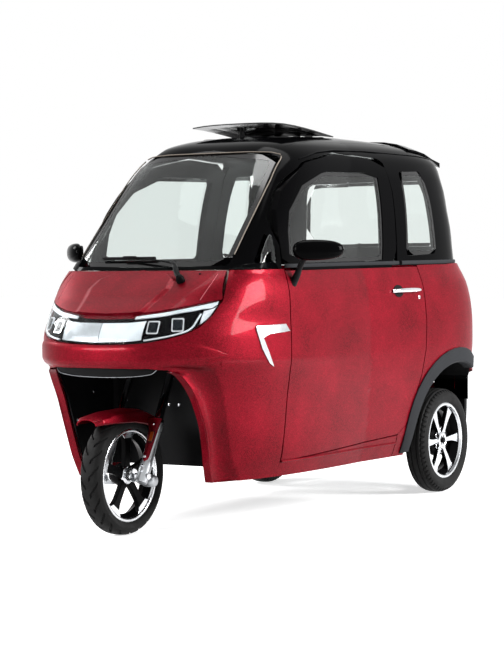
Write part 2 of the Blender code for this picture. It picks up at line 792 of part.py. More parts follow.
def rear_body(paint):
    """Rear quarters and tail in one piece, with wheel arches and the boot opening cut."""
    rows = np.concatenate([[SILL_BOTTOM], door_rear_heights()[:-1], [BELT_HEIGHT - SEAT_GAP]])[:, None]
    start = LOWER.turn_at_y(door_rear_edge(np.maximum(rows, DOOR_LOW_REAR)) + SHUT_GAP, rows, True)
    share = np.array([0, 0.18, 0.36, 0.50, 0.58, 0.65, 0.73, 0.85, 1])
    turn = start + share * (0.5 - start)
    left = LOWER.around(turn, rows)
    left[:, -1, 0] = 0
    mirror = left[:, -2::-1] * np.array([-1, 1, 1])
    outer = np.concatenate([left, mirror], axis=1)
    item = skin_slab("rear_body", LOWER, outer, BODY_WALL, paint, level_top=True)
    for hand in (1, -1):
        corner = ARCH_RADIUS / math.cos(math.pi / ARCH_SEGMENTS)
        arch = turned("cut_arch", [(-0.25, 0), (-0.25, corner), (0.25, corner), (0.25, 0)], paint,
                      segments=ARCH_SEGMENTS, centre=(hand * 0.67, REAR_AXLE_Y, TYRE_RADIUS))
        boolean(item, arch)
    skirt = block("cut_skirt", (-0.7, REAR_AXLE_Y, 0.1), (0.7, TAIL_Y + 0.1, BUMPER_HIGH + SEAT_GAP),
                  paint)
    boolean(item, skirt)
    boot = grown(boot_outline(), SHUT_GAP)
    return boolean(item, prism("cut_boot", boot, 1, 0.9, TAIL_Y + 0.1, paint))


def boot_outline():
    return rounded([(-BOOT_HALF_WIDTH, BOOT_LOW, 0.03), (BOOT_HALF_WIDTH, BOOT_LOW, 0.03),
                    (BOOT_HALF_WIDTH, BOOT_HIGH, 0.03), (-BOOT_HALF_WIDTH, BOOT_HIGH, 0.03)])


def boot_lid(paint):
    item = pane("boot_lid", LOWER, boot_outline(), REARWARDS, paint, depth=BODY_WALL, recess=0)
    barrels = []
    for x in (-0.22, 0.22):
        y = float(LOWER.end_y(x, BOOT_HIGH, True))
        barrels.append(rod("boot_hinge", (x - 0.03, BOOT_HINGE_Y, BOOT_HIGH),
                           (x + 0.03, BOOT_HINGE_Y, BOOT_HIGH), SHUT_GAP - HINGE_GAP, paint,
                           sides=8))
        barrels.append(block("boot_leaf", (x - 0.03, y - 0.012, BOOT_HIGH - 0.014),
                             (x + 0.03, BOOT_HINGE_Y, BOOT_HIGH), paint))
    return fuse(item, *barrels)


def rear_bumper(material):
    x = np.sin(np.linspace(-1, 1, 13) * math.pi / 2) * BUMPER_HALF_WIDTH
    rows = np.linspace(BUMPER_LOW, BUMPER_HIGH, 4)[:, None]
    return skin_slab("rear_bumper", LOWER, LOWER.end(x, rows, True), BUMPER_WALL, material,
                     outward=REARWARDS)


def tail_lamp(hand, material):
    outline = rounded([(hand * 0.430, 0.79, 0.012), (hand * 0.474, 0.79, 0.012),
                       (hand * 0.470, 0.975, 0.012), (hand * 0.430, 0.975, 0.012)][::hand])
    return pane("tail_lamp_" + SIDES[hand], LOWER, outline, REARWARDS, material,
                depth=0.014, recess=-0.0050 - 2 * SEAT_GAP, count=16)


def sill(hand, paint):
    y = np.linspace(DOOR_FRONT_Y - SHUT_GAP + SEAT_GAP, DOOR_LOW_REAR_Y, 9)
    rows = np.linspace(0, 1, 3)[:, None]
    z = SILL_BOTTOM + rows * (door_low_edge(y) - SHUT_GAP - SILL_BOTTOM)
    return skin_slab("sill_" + SIDES[hand], LOWER, LOWER.side(y, z, hand), 0.05, paint)


def arch_moulding(hand, material):
    """Moulding round the rear wheel opening: an L section swept along the arc."""
    inner, outer = ARCH_RADIUS - 0.026, ARCH_RADIUS + ARCH_MOULDING
    seat = 0.0018
    section = [(outer, seat), (outer, 0.006), (outer - 0.008, ARCH_PROUD),
               (inner + 0.006, ARCH_PROUD), (inner, 0.004), (inner, -0.035),
               (ARCH_RADIUS - SEAT_GAP, -0.035), (ARCH_RADIUS - SEAT_GAP, seat)]
    angle = np.radians(np.linspace(183, 64, 16))
    radius = np.array([p[0] for p in section])[:, None]
    proud = np.array([p[1] for p in section])[:, None, None]
    y = REAR_AXLE_Y + radius * np.cos(angle)
    z = TYRE_RADIUS + radius * np.sin(angle)
    skin = LOWER.side(y, z, hand)
    ring = skin + proud * np.array([hand, 0, 0])
    count, length = ring.shape[:2]
    faces = [[i * length for i in range(count)], [i * length + length - 1 for i in range(count)][::-1]]
    for i in range(count):
        k = (i + 1) % count
        for j in range(length - 1):
            faces.append([i * length + j, i * length + j + 1, k * length + j + 1, k * length + j])
    return add_mesh("arch_moulding_" + SIDES[hand], ring.reshape(-1, 3), faces, material)


# Greenhouse

def dome(name, material):
    """Skin of the whole greenhouse with its windows cut out, before it is parted into panels."""
    turn = dome_turns()
    heights = BELT_HEIGHT + np.array([0, 0.16, 0.32, 0.44, 0.497, 0.530, 0.549, 0.559])
    rows = (heights + SEAT_GAP)[::-1, None]
    outer = UPPER.around(turn, rows)
    crown = np.zeros((1, len(turn), 3)) + (0, UPPER.middle(ROOF_HEIGHT), ROOF_HEIGHT)
    outer = np.concatenate([crown, outer])
    normal = UPPER.normal(outer)
    normal[0] = (0, 0, 1)
    inner = outer - ROOF_WALL * normal
    inner[-1, :, 2] = BELT_HEIGHT + SEAT_GAP
    item = slab(name, outer, inner, material, wrap=True, cap=True)
    boolean(item, prism("cut_windshield", WINDSHIELD_OUTLINE, 1, NOSE_Y, WIDEST_Y - 0.2, material))
    return boolean(item, prism("cut_rear_window", REAR_WINDOW_OUTLINE, 1, TAIL_Y - 0.325, TAIL_Y + 0.175, material))


def narrowed(item, half, material):
    """Cuts away what lies outside a half width."""
    for hand in (1, -1):
        low, high = sorted((hand * half, hand * 0.8))
        boolean(item, block("cut_side", (low, *BEFORE_ALL), (high, *BEYOND_ALL), material))
    return item


def roof_panel(material):
    """Roof skin with the headers over both windows, the sunroof opening and its hinge pads."""
    item = narrowed(dome("roof_panel", material), ROOF_SEAM_X - SEAT_GAP, material)
    boolean(item, block("cut_low", (-0.6, *BEFORE_ALL), (0.6, BEYOND_ALL[0], up(0.5)), material))
    sunroof = rounded([(-SUNROOF_HALF_WIDTH, SUNROOF_FRONT_Y, 0.05),
                       (SUNROOF_HALF_WIDTH, SUNROOF_FRONT_Y, 0.05),
                       (SUNROOF_HALF_WIDTH, SUNROOF_REAR_Y, 0.05),
                       (-SUNROOF_HALF_WIDTH, SUNROOF_REAR_Y, 0.05)])
    boolean(item, prism("cut_sunroof", sunroof, 2, up(0.675), up(1.21), material))
    return fuse(item, *(sunroof_pad(x, material) for x in (-0.13, 0.13)))


def side_frame(hand, material):
    """Windscreen pillar, rail over the door and rear quarter in one ring round the side windows."""
    item = dome("side_frame_" + SIDES[hand], material)
    door = grown(DOOR_FRAME_OUTLINE, SHUT_GAP)
    door = np.where(door[:, 1:] < BELT_HEIGHT + 0.02, door - (0, 0.05), door)
    low, high = sorted((hand * 0.27, hand * 0.75))
    for name, outline in (("door", door), ("vent", VENT_OUTLINE), ("quarter", QUARTER_OUTLINE)):
        boolean(item, prism("cut_" + name, outline, 0, low, high, material))
    low, high = sorted((-hand * 0.7, hand * (ROOF_SEAM_X + SEAT_GAP)))
    boolean(item, block("cut_half", (low, *BEFORE_ALL), (high, *BEYOND_ALL), material))
    low, high = sorted((hand * 0.25, hand * (RAIL_SEAM_X + SEAT_GAP)))
    return boolean(item, block("cut_rail", (low, *BEFORE_ALL), (high, BEYOND_ALL[0], SEAM_STEP), material))


def base_rail(name, material, rear):
    """Strip of the greenhouse below the windscreen or the rear window, between the side frames."""
    item = narrowed(dome(name, material), RAIL_SEAM_X - SEAT_GAP, material)
    away = (BEFORE_ALL[0], WIDEST_Y + 0.1) if rear else (WIDEST_Y - 0.1, BEYOND_ALL[0])
    boolean(item, block("cut_end", (-0.6, away[0], BEFORE_ALL[1]), (0.6, away[1], BEYOND_ALL[1]),
                        material))
    top = SEAM_STEP - SEAT_GAP
    return boolean(item, block("cut_high", (-0.6, BEFORE_ALL[0], top), (0.6, *BEYOND_ALL), material))


def sunroof_pad(x, material):
    """Hinge pad under the pane's rear edge, in the joint's axis."""
    y = SUNROOF_REAR_Y + SUNROOF_OVERLAP
    top = float(UPPER.roof_z(abs(x) + 0.02, y)) + PANE_LIFT - HINGE_GAP
    return block("sunroof_pad", (x - 0.02, y - 0.014, top - 0.012), (x + 0.02, y, top), material)


def dome_turns(count=36):
    """Angles round the dome, closer together at the four corners."""
    even = np.arange(count) / count
    return even - 0.045 * np.sin(8 * np.pi * even) / (2 * np.pi) * 2


def spoiler(material):
    """Lip over the rear window, seated on the roof and free at its tail."""
    half, start, end = 0.36, 0.80, TAIL_Y - 0.02
    x = np.linspace(-1, 1, 11) * half
    swept = 0.05 * (np.abs(x) / half) ** 3
    share = np.linspace(0, 1, 5)[:, None]
    y = start - swept + share * (end - start)
    roof = UPPER.roof_z(x, y)
    base = UPPER.roof_z(x, start - swept)
    top = np.maximum(base + 0.012 - 0.17 * (y - y[0]) - 0.5 * np.maximum(0, y - 0.98) ** 2, roof + 0.012)
    low = np.maximum(roof + 0.0045, top - 0.022)
    grid = [np.stack(np.broadcast_arrays(x, y, level), -1) for level in (top, low)]
    return slab("spoiler", grid[0], grid[1], material)


def sunroof_glass(material):
    """Tilting pane, hinged at its rear edge and raised in front."""
    hinge = sunroof_hinge()
    half = SUNROOF_HALF_WIDTH + SUNROOF_OVERLAP
    x = np.linspace(-1, 1, 9) * half
    y = np.linspace(SUNROOF_FRONT_Y - SUNROOF_OVERLAP, SUNROOF_REAR_Y + SUNROOF_OVERLAP, 6)[:, None]
    closed = UPPER.roof_z(x, y) + PANE_LIFT
    outer = np.stack(np.broadcast_arrays(x, y, closed + GLASS), -1)
    inner = np.stack(np.broadcast_arrays(x, y, closed), -1)
    item = slab("sunroof_glass", outer, inner, material)
    turn = Matrix.Rotation(-SUNROOF_TILT, 4, "X")
    item.matrix_world = Matrix.Translation(hinge) @ turn @ Matrix.Translation(-hinge)
    return item


def sunroof_hinge():
    y = SUNROOF_REAR_Y + SUNROOF_OVERLAP
    return Vector((0, y, float(UPPER.roof_z(0, y)) + PANE_LIFT))


# Doors

def door_panel(hand, paint):
    z_line = door_rear_heights()[:, None]
    rows = (z_line - DOOR_LOW_REAR) / (DOOR_TOP - DOOR_LOW_REAR)
    u = np.linspace(0, 1, 8)
    y = DOOR_FRONT_Y + u * (door_rear_edge(z_line) - DOOR_FRONT_Y)
    low = door_low_edge(DOOR_FRONT_Y + u * (DOOR_LOW_REAR_Y - DOOR_FRONT_Y))
    z = low + rows * (DOOR_TOP - low)
    item = skin_slab("door_panel_" + SIDES[hand], LOWER, LOWER.side(y, z, hand), DOOR_WALL, paint,
                     level_top=True)
    leaves = []
    for height in HINGE_HEIGHTS:
        y = np.array([DOOR_FRONT_Y - SHUT_GAP + HINGE_GAP, DOOR_FRONT_Y + 0.012])
        z = np.array([height - 0.025, height + 0.025])[:, None]
        leaves.append(skin_slab("hinge_leaf", LOWER, LOWER.side(y, z, hand), 0.018, paint,
                                recess=0.008))
    return fuse(item, *leaves)


def door_frame(hand, material):
    """Window frame: a ring between the door's upper outline and its glass."""
    outside = spokes_of(DOOR_FRAME_OUTLINE, DOOR_WINDOW_CENTRE, even_angles(DOOR_RAYS))
    inside = spokes_of(DOOR_GLASS_OUTLINE, DOOR_WINDOW_CENTRE, even_angles(DOOR_RAYS))
    flat = np.array([inside + share * (outside - inside) for share in (0, 0.5, 1)])
    view = (hand, 0, 0)
    return skin_slab("door_frame_" + SIDES[hand], UPPER, seen_on(UPPER, flat, view), ROOF_WALL,
                     material, outward=view, wrap=True)


def door_glass(hand, material):
    return pane("door_glass_" + SIDES[hand], UPPER, DOOR_GLASS_OUTLINE, (hand, 0, 0), material,
                count=DOOR_RAYS, centre=DOOR_WINDOW_CENTRE)


def door_handle(hand, material):
    """Pull bar on two feet."""
    front, rear, height, thick = 0.285, 0.505, 0.912, 0.011
    outline = [(front, 0), (front + 0.006, 0.022), (front + 0.03, 0.032), (rear - 0.03, 0.032),
               (rear - 0.006, 0.022), (rear, 0), (rear - 0.03, 0), (rear - 0.042, 0.018),
               (front + 0.042, 0.018), (front + 0.03, 0)]
    places = np.array([p[0] for p in outline])
    proud = np.array([p[1] for p in outline])[:, None]
    rings = []
    for z in (height - thick, height + thick):
        skin = LOWER.side(places, np.full(len(places), z), hand)
        rings.append(skin + (proud + 0.0002) * np.array([hand, 0, 0]))
    count = len(outline)
    faces = [list(range(count)), list(range(count, 2 * count))[::-1]]
    faces += [[(i + 1) % count, i, count + i, count + (i + 1) % count] for i in range(count)]
    return add_mesh("door_handle_" + SIDES[hand], np.concatenate(rings), faces, material)


def mirror(hand, material):
    """Mirror head on an arm from the door's front corner."""
    name = "mirror_" + SIDES[hand]
    head = ellipsoid(name, (0, 0, 0), (0.108, 0.035, 0.042), material, 12, 6)
    head.matrix_world = (Matrix.Translation((hand * 0.592, -0.455, 1.093))
                         @ Matrix.Rotation(hand * math.radians(44), 4, "Z"))
    foot_y, foot_z = -0.468, 0.975
    skin = LOWER.side(foot_y, foot_z, hand)
    y = np.array([-0.030, 0.030]) + foot_y
    z = np.array([-0.030, 0.030])[:, None] + foot_z
    foot_skin = LOWER.side(y, z, hand)
    foot = slab("mirror_foot", foot_skin + (hand * 0.022, 0, 0),
                foot_skin - (hand * 0.0007, 0, 0), material)
    arm = rod("mirror_arm", skin + (hand * 0.018, 0, 0.006), (hand * 0.555, -0.480, 1.075), 0.017,
              material, sides=8, end_radius=0.014)
    return fuse(head, foot, arm)


def ellipsoid(name, centre, radii, material, around=16, rings=8):
    angle = np.linspace(0, math.pi, rings + 1)
    profile = [(-math.cos(a), math.sin(a) if 0 < i < rings else 0) for i, a in enumerate(angle)]
    item = turned(name, profile, material, segments=around)
    item.data.transform(Matrix.Translation(centre) @ Matrix.Diagonal((*radii, 1)))
    return item


# Chassis, floor and running gear

def bar_path(name, path, x, width, height, material):
    """Square tube along a (Y, height) path."""
    path = np.asarray(path, float)
    low = np.stack([path[:, 0], path[:, 1]], 1)
    high = low + (0, height)
    outline = np.concatenate([low, high[::-1]])
    return prism(name, outline, 0, x - width / 2, x + width / 2, material)


def chassis(material):
    """Ladder frame with a kick-up over the rear axle and a raked steering head."""
    path = [(-0.60, RAIL_LOW), (KICK_FRONT_Y, RAIL_LOW), (KICK_REAR_Y, RAIL_REAR_LOW),
            (1.04, RAIL_REAR_LOW)]
    rail = bar_path("chassis_frame", path, RAIL_X, RAIL_WIDTH, RAIL_HEIGHT, material)
    other = bar_path("rail_right", path, -RAIL_X, RAIL_WIDTH, RAIL_HEIGHT, material)
    pieces = [other]
    reach = RAIL_X + RAIL_WIDTH / 2 - 0.003
    for y, z in ((-0.585, RAIL_LOW), (-0.10, RAIL_LOW), (0.35, RAIL_LOW), (0.62, RAIL_REAR_LOW),
                 (1.02, RAIL_REAR_LOW)):
        pieces.append(block("cross_member", (-reach, y - 0.015, z + 0.004),
                            (reach, y + 0.015, z + RAIL_HEIGHT - 0.004), material))
    axis = steering_axis()
    low, high = (on_axis(w) for w in (head_low(), head_low() + HEAD_TUBE_LENGTH))
    for hand in (1, -1):
        foot = np.array([hand * 0.20, -0.580, RAIL_LOW + RAIL_HEIGHT / 2])
        knee = np.array([hand * 0.085, -0.572, 0.755])
        top = on_axis(head_low() + HEAD_TUBE_LENGTH * 0.72) + (hand * 0.012, 0.012, 0)
        pieces.append(sweep("head_stay", [foot, knee, top], 0.016, material, sides=8))
    tube = rod("head_tube", low, high, HEAD_TUBE_RADIUS, material, sides=16)
    fuse(rail, *pieces, tube)
    bore = rod("head_bore", low - 0.1 * axis, high + 0.1 * axis, STEM_RADIUS + 0.001, material, 16)
    return boolean(rail, bore)


def steering_axis():
    return np.array([0, math.sin(RAKE), math.cos(RAKE)])


def on_axis(distance):
    """Point on the steering axis, a distance up from the foot of the axle's perpendicular."""
    foot = np.array([0, FRONT_AXLE_Y + FORK_OFFSET * math.cos(RAKE),
                     TYRE_RADIUS - FORK_OFFSET * math.sin(RAKE)])
    return foot + distance * steering_axis()


def head_low():
    return YOKE_LOW + YOKE_THICKNESS + RUNNING_GAP


def in_fork_frame(item):
    """Places a solid built about local Z on the raked steering axis."""
    item.data.transform(Matrix.Translation(Vector(on_axis(0))) @ Matrix.Rotation(-RAKE, 4, "X"))
    return item


def fork_upper(material):
    """Stem, lower yoke and the two stanchions."""
    yoke = prism("fork_upper", rounded([(-0.121, -0.059, 0.022), (0.121, -0.059, 0.022),
                                        (0.121, -0.012, 0.02), (0.04, 0.032, 0.02),
                                        (-0.04, 0.032, 0.02), (-0.121, -0.012, 0.02)], 3),
                 2, YOKE_LOW, YOKE_LOW + YOKE_THICKNESS, material)
    pieces = [rod("stem", (0, 0, YOKE_LOW + 0.005), (0, 0, STEM_TOP), STEM_RADIUS, material, 12)]
    for hand in (1, -1):
        pieces.append(rod("stanchion", (hand * STANCHION_X, -FORK_OFFSET, LOWER_LEG_TOP + SEAT_GAP),
                          (hand * STANCHION_X, -FORK_OFFSET, YOKE_LOW + YOKE_THICKNESS + 0.006),
                          STANCHION_RADIUS, material, 12))
    for item in (yoke, *pieces):
        in_fork_frame(item)
    return fuse(yoke, *pieces)


def fork_lowers(material):
    """Alloy lower legs with the axle between them."""
    legs = []
    for hand in (1, -1):
        legs.append(rod("fork_lowers" if hand > 0 else "lower_leg",
                        (hand * STANCHION_X, -FORK_OFFSET, -0.030),
                        (hand * STANCHION_X, -FORK_OFFSET, LOWER_LEG_TOP),
                        LOWER_LEG_RADIUS, material, 14))
    axle = rod("front_axle", (-STANCHION_X - 0.03, -FORK_OFFSET, 0), (STANCHION_X + 0.03, -FORK_OFFSET, 0),
               AXLE_PIN_RADIUS, material, 16)
    for item in (*legs, axle):
        in_fork_frame(item)
    return fuse(legs[0], legs[1], axle)


def front_mudguard(paint):
    """Flat guard that reaches ahead of the tyre, with a shroud down the front of each fork leg."""
    # Y, shoulder height, half width and depth of the side skirt at each station
    stations = np.array([
        (-1.196, 0.453, 0.046, 0.010), (-1.165, 0.464, 0.060, 0.018), (-1.080, 0.474, 0.066, 0.028),
        (-0.966, 0.478, 0.066, 0.036), (-0.890, 0.471, 0.066, 0.042), (-0.830, 0.450, 0.066, 0.042),
        (-0.790, 0.426, 0.060, 0.034)])
    y, shoulder, half, skirt = (column[None, :] for column in stations.T)
    across = np.array([-1, -1, -0.6, 0, 0.6, 1, 1])[:, None]
    crown = np.array([0, 0, 0.011, 0.014, 0.011, 0, 0])[:, None]
    drop = np.array([1, 0, 0, 0, 0, 0, 1])[:, None]
    outer = np.stack(np.broadcast_arrays(across * half, y, shoulder + crown - drop * skirt), -1)
    inner = outer * (0.92, 1, 1) - (0, 0, 0.0045)
    item = slab("front_mudguard", outer, inner, paint)
    front = -FORK_OFFSET - LOWER_LEG_RADIUS - SEAT_GAP
    outside = STANCHION_X + LOWER_LEG_RADIUS + SEAT_GAP
    plates = []
    for hand in (1, -1):
        outline = np.array([(0.057, front - SHEET), (outside + SHEET, front - SHEET),
                            (outside + SHEET, -0.018), (outside, -0.018), (outside, front),
                            (0.057, front)]) * (hand, 1)
        plates.append(in_fork_frame(prism("shroud", outline, 2, 0.055, 0.232, paint)))
    return fuse(item, *plates)


def handlebar(material):
    clamp = turned("handlebar", [(STEM_TOP + SEAT_GAP, 0), (STEM_TOP + SEAT_GAP, 0.026),
                                 (STEM_TOP + 0.045, 0.026), (STEM_TOP + 0.045, 0)], material,
                   segments=16, along=2)
    in_fork_frame(clamp)
    centre = on_axis(STEM_TOP + 0.022)
    half, sweep_back, rise = HANDLEBAR_HALF_WIDTH, HANDLEBAR_SWEEP, HANDLEBAR_RISE
    left = [(0, 0, 0), (0.06, 0.004, 0.002), (0.13, 0.04, rise * 0.8), (0.18, 0.075, rise),
            (0.185, 0.078, rise), (half, sweep_back, rise)]
    radii = [0.011, 0.011, 0.011, 0.011, 0.016, 0.015]
    path = [(-x, y, z) for x, y, z in left[:0:-1]] + left
    bar = sweep("bar", np.array(path) + centre, np.array(radii[:0:-1] + radii), material,
                sides=8)
    return fuse(clamp, bar)


def tyre(name, radius, width, rim_radius, x, y, material):
    half, bead = width / 2, rim_radius + SEAT_GAP
    wall = radius - bead
    profile = [(-half * 0.62, bead), (-half, bead + 0.5 * wall), (-half * 0.78, radius - 0.10 * wall),
               (0, radius), (half * 0.78, radius - 0.10 * wall),
               (half, bead + 0.5 * wall), (half * 0.62, bead)]
    return turned(name, profile, material, centre=(x, y, radius))


def rim(name, radius, half, spokes, face, x, y, material, hub_half, bore):
    """Barrel with flanges, a spoked disc and a bored hub."""
    wall = 0.007
    flange = [(-half, radius), (-half, radius - wall), (-half * 0.55, radius - 0.026),
              (half * 0.55, radius - 0.026), (half, radius - wall), (half, radius)]
    item = turned(name, flange, material, centre=(x, y, TYRE_RADIUS))
    hub_radius, tip = 0.036, radius - 0.023
    outline = []
    for k in range(spokes):
        middle = 2 * np.pi * k / spokes + (np.pi / 2 if spokes % 2 else 0)
        for distance, spread in ((tip, -0.024), (tip, 0.024)):
            swing = spread / distance
            outline.append((distance * np.cos(middle + swing), distance * np.sin(middle + swing)))
        between = middle + np.pi / spokes
        for swing in (-0.42 * np.pi / spokes, 0.42 * np.pi / spokes):
            outline.append((hub_radius * 1.25 * np.cos(between + swing),
                            hub_radius * 1.25 * np.sin(between + swing)))
    outline = np.array(outline) + (y, TYRE_RADIUS)
    disc = prism("spokes", outline, 0, x + face - 0.012, x + face + 0.012, material)
    hub = turned("hub", [(-hub_half, 0), (-hub_half, hub_radius), (hub_half, hub_radius), (hub_half, 0)],
                 material, segments=16, centre=(x, y, TYRE_RADIUS))
    fuse(item, disc, hub)
    hole = rod("hub_bore", (x - 0.2, y, TYRE_RADIUS), (x + 0.2, y, TYRE_RADIUS),
               bore + RUNNING_GAP, material, 12)
    return boolean(item, hole)


def rear_axle(material):
    """Beam axle with its motor housing, trailing arms and spring legs."""
    reach = REAR_WHEEL_X + 0.035
    beam = rod("rear_axle", (-0.385, REAR_AXLE_Y, TYRE_RADIUS), (0.385, REAR_AXLE_Y, TYRE_RADIUS),
               0.027, material, 14)
    pieces = [rod("stub", (-reach, REAR_AXLE_Y, TYRE_RADIUS), (reach, REAR_AXLE_Y, TYRE_RADIUS),
                  0.013, material, 12)]
    pieces.append(turned("motor", [(-0.105, 0), (-0.105, 0.060), (-0.075, 0.092), (0.055, 0.092),
                                   (0.09, 0.050), (0.09, 0)], material, segments=16,
                         centre=(0.02, REAR_AXLE_Y, TYRE_RADIUS)))
    for hand in (1, -1):
        x = hand * RAIL_X
        pieces.append(block("arm", (x - 0.012, KICK_FRONT_Y + 0.07, TYRE_RADIUS - 0.020),
                            (x + 0.012, REAR_AXLE_Y + 0.03, TYRE_RADIUS + 0.006), material))
        pieces.append(rod("spring_leg", (x, REAR_AXLE_Y, TYRE_RADIUS),
                          (x, REAR_AXLE_Y, RAIL_REAR_LOW - SEAT_GAP), 0.027, material, 12))
    return fuse(beam, *pieces)


def floor_tub(material):
    """Floor pan that rises in front of the rear axle. Its edges follow the sills."""
    top = RAIL_LOW + RAIL_HEIGHT + SEAT_GAP
    rear_top = RAIL_REAR_LOW + RAIL_HEIGHT + SEAT_GAP
    path = [(-0.55, top), (-0.25, top), (0.05, top), (KICK_FRONT_Y - 0.075, top),
            (KICK_FRONT_Y - 0.0025, top), (KICK_REAR_Y - 0.003, rear_top), (1.06, rear_top)]
    y = np.array([p[0] for p in path])[:, None]
    z = np.array([p[1] for p in path])[:, None]
    edge = LOWER.side_x(np.minimum(y, KICK_FRONT_Y), np.full_like(y, 0.25)) - 0.05 - 0.004
    half = np.where(y < KICK_FRONT_Y, edge, 0.345)
    u = np.linspace(-1, 1, 3)
    under = np.stack(np.broadcast_arrays(u * half, y, z), -1)
    over = under + (0, 0, FLOOR_THICKNESS)
    return slab("floor_pan", over, under, material)


def front_liner(material):
    """Black housing behind the front opening: walls, back and roof.

    Its front edge follows the inside of the nose and of the legs.
    """
    half, front = 0.300, NOSE_Y + 0.045
    back, top = LINER_BACK, LINER_TOP

    def outline(inset, reach):
        side = half - inset
        return rounded([(-side, front - reach, 0.001), (-side, back - inset, 0.02),
                        (side, back - inset, 0.02), (side, front - reach, 0.001)], 3)

    item = prism("front_liner", outline(0, 0), 2, RAIL_LOW, top, material)
    boolean(item, prism("cut_liner", outline(SHEET, 0.1), 2, RAIL_LOW - 0.1, top - SHEET, material))
    boolean(item, rod("cut_stem", on_axis(0.3), on_axis(0.75), 0.046, material, 16))
    z = np.linspace(RAIL_LOW - 0.01, top + 0.01, 8)
    edge = np.stack([LOWER.end_y(half + 0.7 * BODY_WALL, z) + BODY_WALL + 12 * SEAT_GAP, z], 1)
    ahead = np.array([(NOSE_Y - 0.1, z[-1]), (NOSE_Y - 0.1, z[0])])
    return boolean(item, prism("cut_edge", np.concatenate([edge, ahead]), 0, -0.4, 0.4, material))


# Cabin

def dashboard(material):
    outline = [(0.361, -0.055), (0.39, -0.115), (0.525, -0.155), (0.54, -0.12), (0.525, -0.075),
               (0.46, -0.025), (0.41, 0), (0.361, 0)]
    outline = [(NOSE_Y + back, BELT_HEIGHT + rise) for back, rise in outline]
    item = prism("dashboard", outline, 0, -0.335, 0.335, material)
    return boolean(item, rod("cut_column", on_axis(0.55), on_axis(1.0), 0.046, material, 16))


def cushion(name, low, high, material, radius=0.03):
    outline = rounded([(low[1], low[2], radius), (high[1], low[2], radius),
                       (high[1], high[2], radius), (low[1], high[2], radius)], 3)
    return prism(name, outline, 0, low[0], high[0], material)


def wiper(material):
    """Single wiper: a pivot on the bonnet's rear edge, an arm and a blade on the glass."""
    def strip(name, skin, x, z, proud, thick):
        """Flat strip on the skin between two X and two heights."""
        places, heights = np.linspace(*x, 4), np.array(z)[:, None]
        points = skin.end(places, heights)
        normal = skin.normal(points)
        return slab(name, points + (proud + thick) * normal, points + proud * normal, material)

    blade = strip("wiper", UPPER, (-0.235, 0.02), (1.060, 1.069), -0.0016, 0.013)
    boss = strip("wiper_boss", LOWER, (0.195, 0.235), (0.968, 0.992), 2 * SEAT_GAP, 0.020)
    path = []
    for x, z in ((0.215, 0.980), (0.175, 1.005), (0.125, 1.028), (0.02, 1.050), (-0.09, 1.064)):
        skin = UPPER if z > BELT_HEIGHT else LOWER
        point = skin.end(x, z)
        path.append(point + 0.014 * skin.normal(point))
    path[-1] = path[-1] - 0.006 * UPPER.normal(UPPER.end(-0.09, 1.064))
    arm = sweep("wiper_arm", path, 0.0055, material, sides=6)
    return fuse(blade, boss, arm)


SIDES = {1: "left", -1: "right"}

# The moving bodies: name, the point of the joint's axis that carries it, and its pieces


def moving_bodies():
    boot_hinge = (0, BOOT_HINGE_Y, BOOT_HIGH)
    bodies = {
        "steering": (on_axis(head_low()), ["fork_upper", "fork_lowers", "front_mudguard", "handlebar"]),
        "front_wheel": ((0, FRONT_AXLE_Y, TYRE_RADIUS), ["front_rim", "front_tyre"]),
        "sunroof": (sunroof_hinge(), ["sunroof_glass"]),
        "boot": (boot_hinge, ["boot_lid"]),
    }
    for hand, side in SIDES.items():
        bodies["rear_wheel_" + side] = ((hand * REAR_WHEEL_X, REAR_AXLE_Y, TYRE_RADIUS),
                                        ["rear_rim_" + side, "rear_tyre_" + side])
        bodies["door_" + side] = (door_hinge(hand), [name + side for name in (
            "door_panel_", "door_frame_", "door_glass_", "door_handle_", "mirror_")])
    return bodies


def door_hinge(hand):
    """Upright axis in the outer skin at the door's front edge, at its widest height."""
    heights = np.linspace(DOOR_LOW_FRONT, DOOR_TOP, 20)
    return hand * float(LOWER.side_x(DOOR_FRONT_Y, heights).max()), DOOR_FRONT_Y, DOOR_LOW_FRONT


def carrier(name, place, above=None):
    """Empty that carries pieces. Its place is measured from the empty above it."""
    item = bpy.data.objects.new(name, None)
    item.empty_display_size = 0.1
    item.parent = above
    item.location = place
    bpy.context.scene.collection.objects.link(item)
    return item


def assemble():
    """Hangs each moving body on an empty in its joint's axis, and all of them on the vehicle."""
    vehicle = carrier("vehicle", (0, CENTRING, 0))
    pieces = [item for item in bpy.data.objects if item.type == "MESH"]
    owner = {}
    made = {}
    for name, (place, members) in moving_bodies().items():
        above, zero = (made["steering"] if name == "front_wheel" else (vehicle, Vector()))
        place = Vector(place)
        made[name] = (carrier(name + "_axis", place - zero, above), place)
        for member in members:
            owner[member] = made[name]
    for item in pieces:
        if item.hide_render:
            continue
        above, place = owner.get(item.name, (vehicle, Vector()))
        for part in [item] + [m.object for m in item.modifiers]:
            part.parent = above
            part.matrix_parent_inverse = Matrix.Translation(-place)


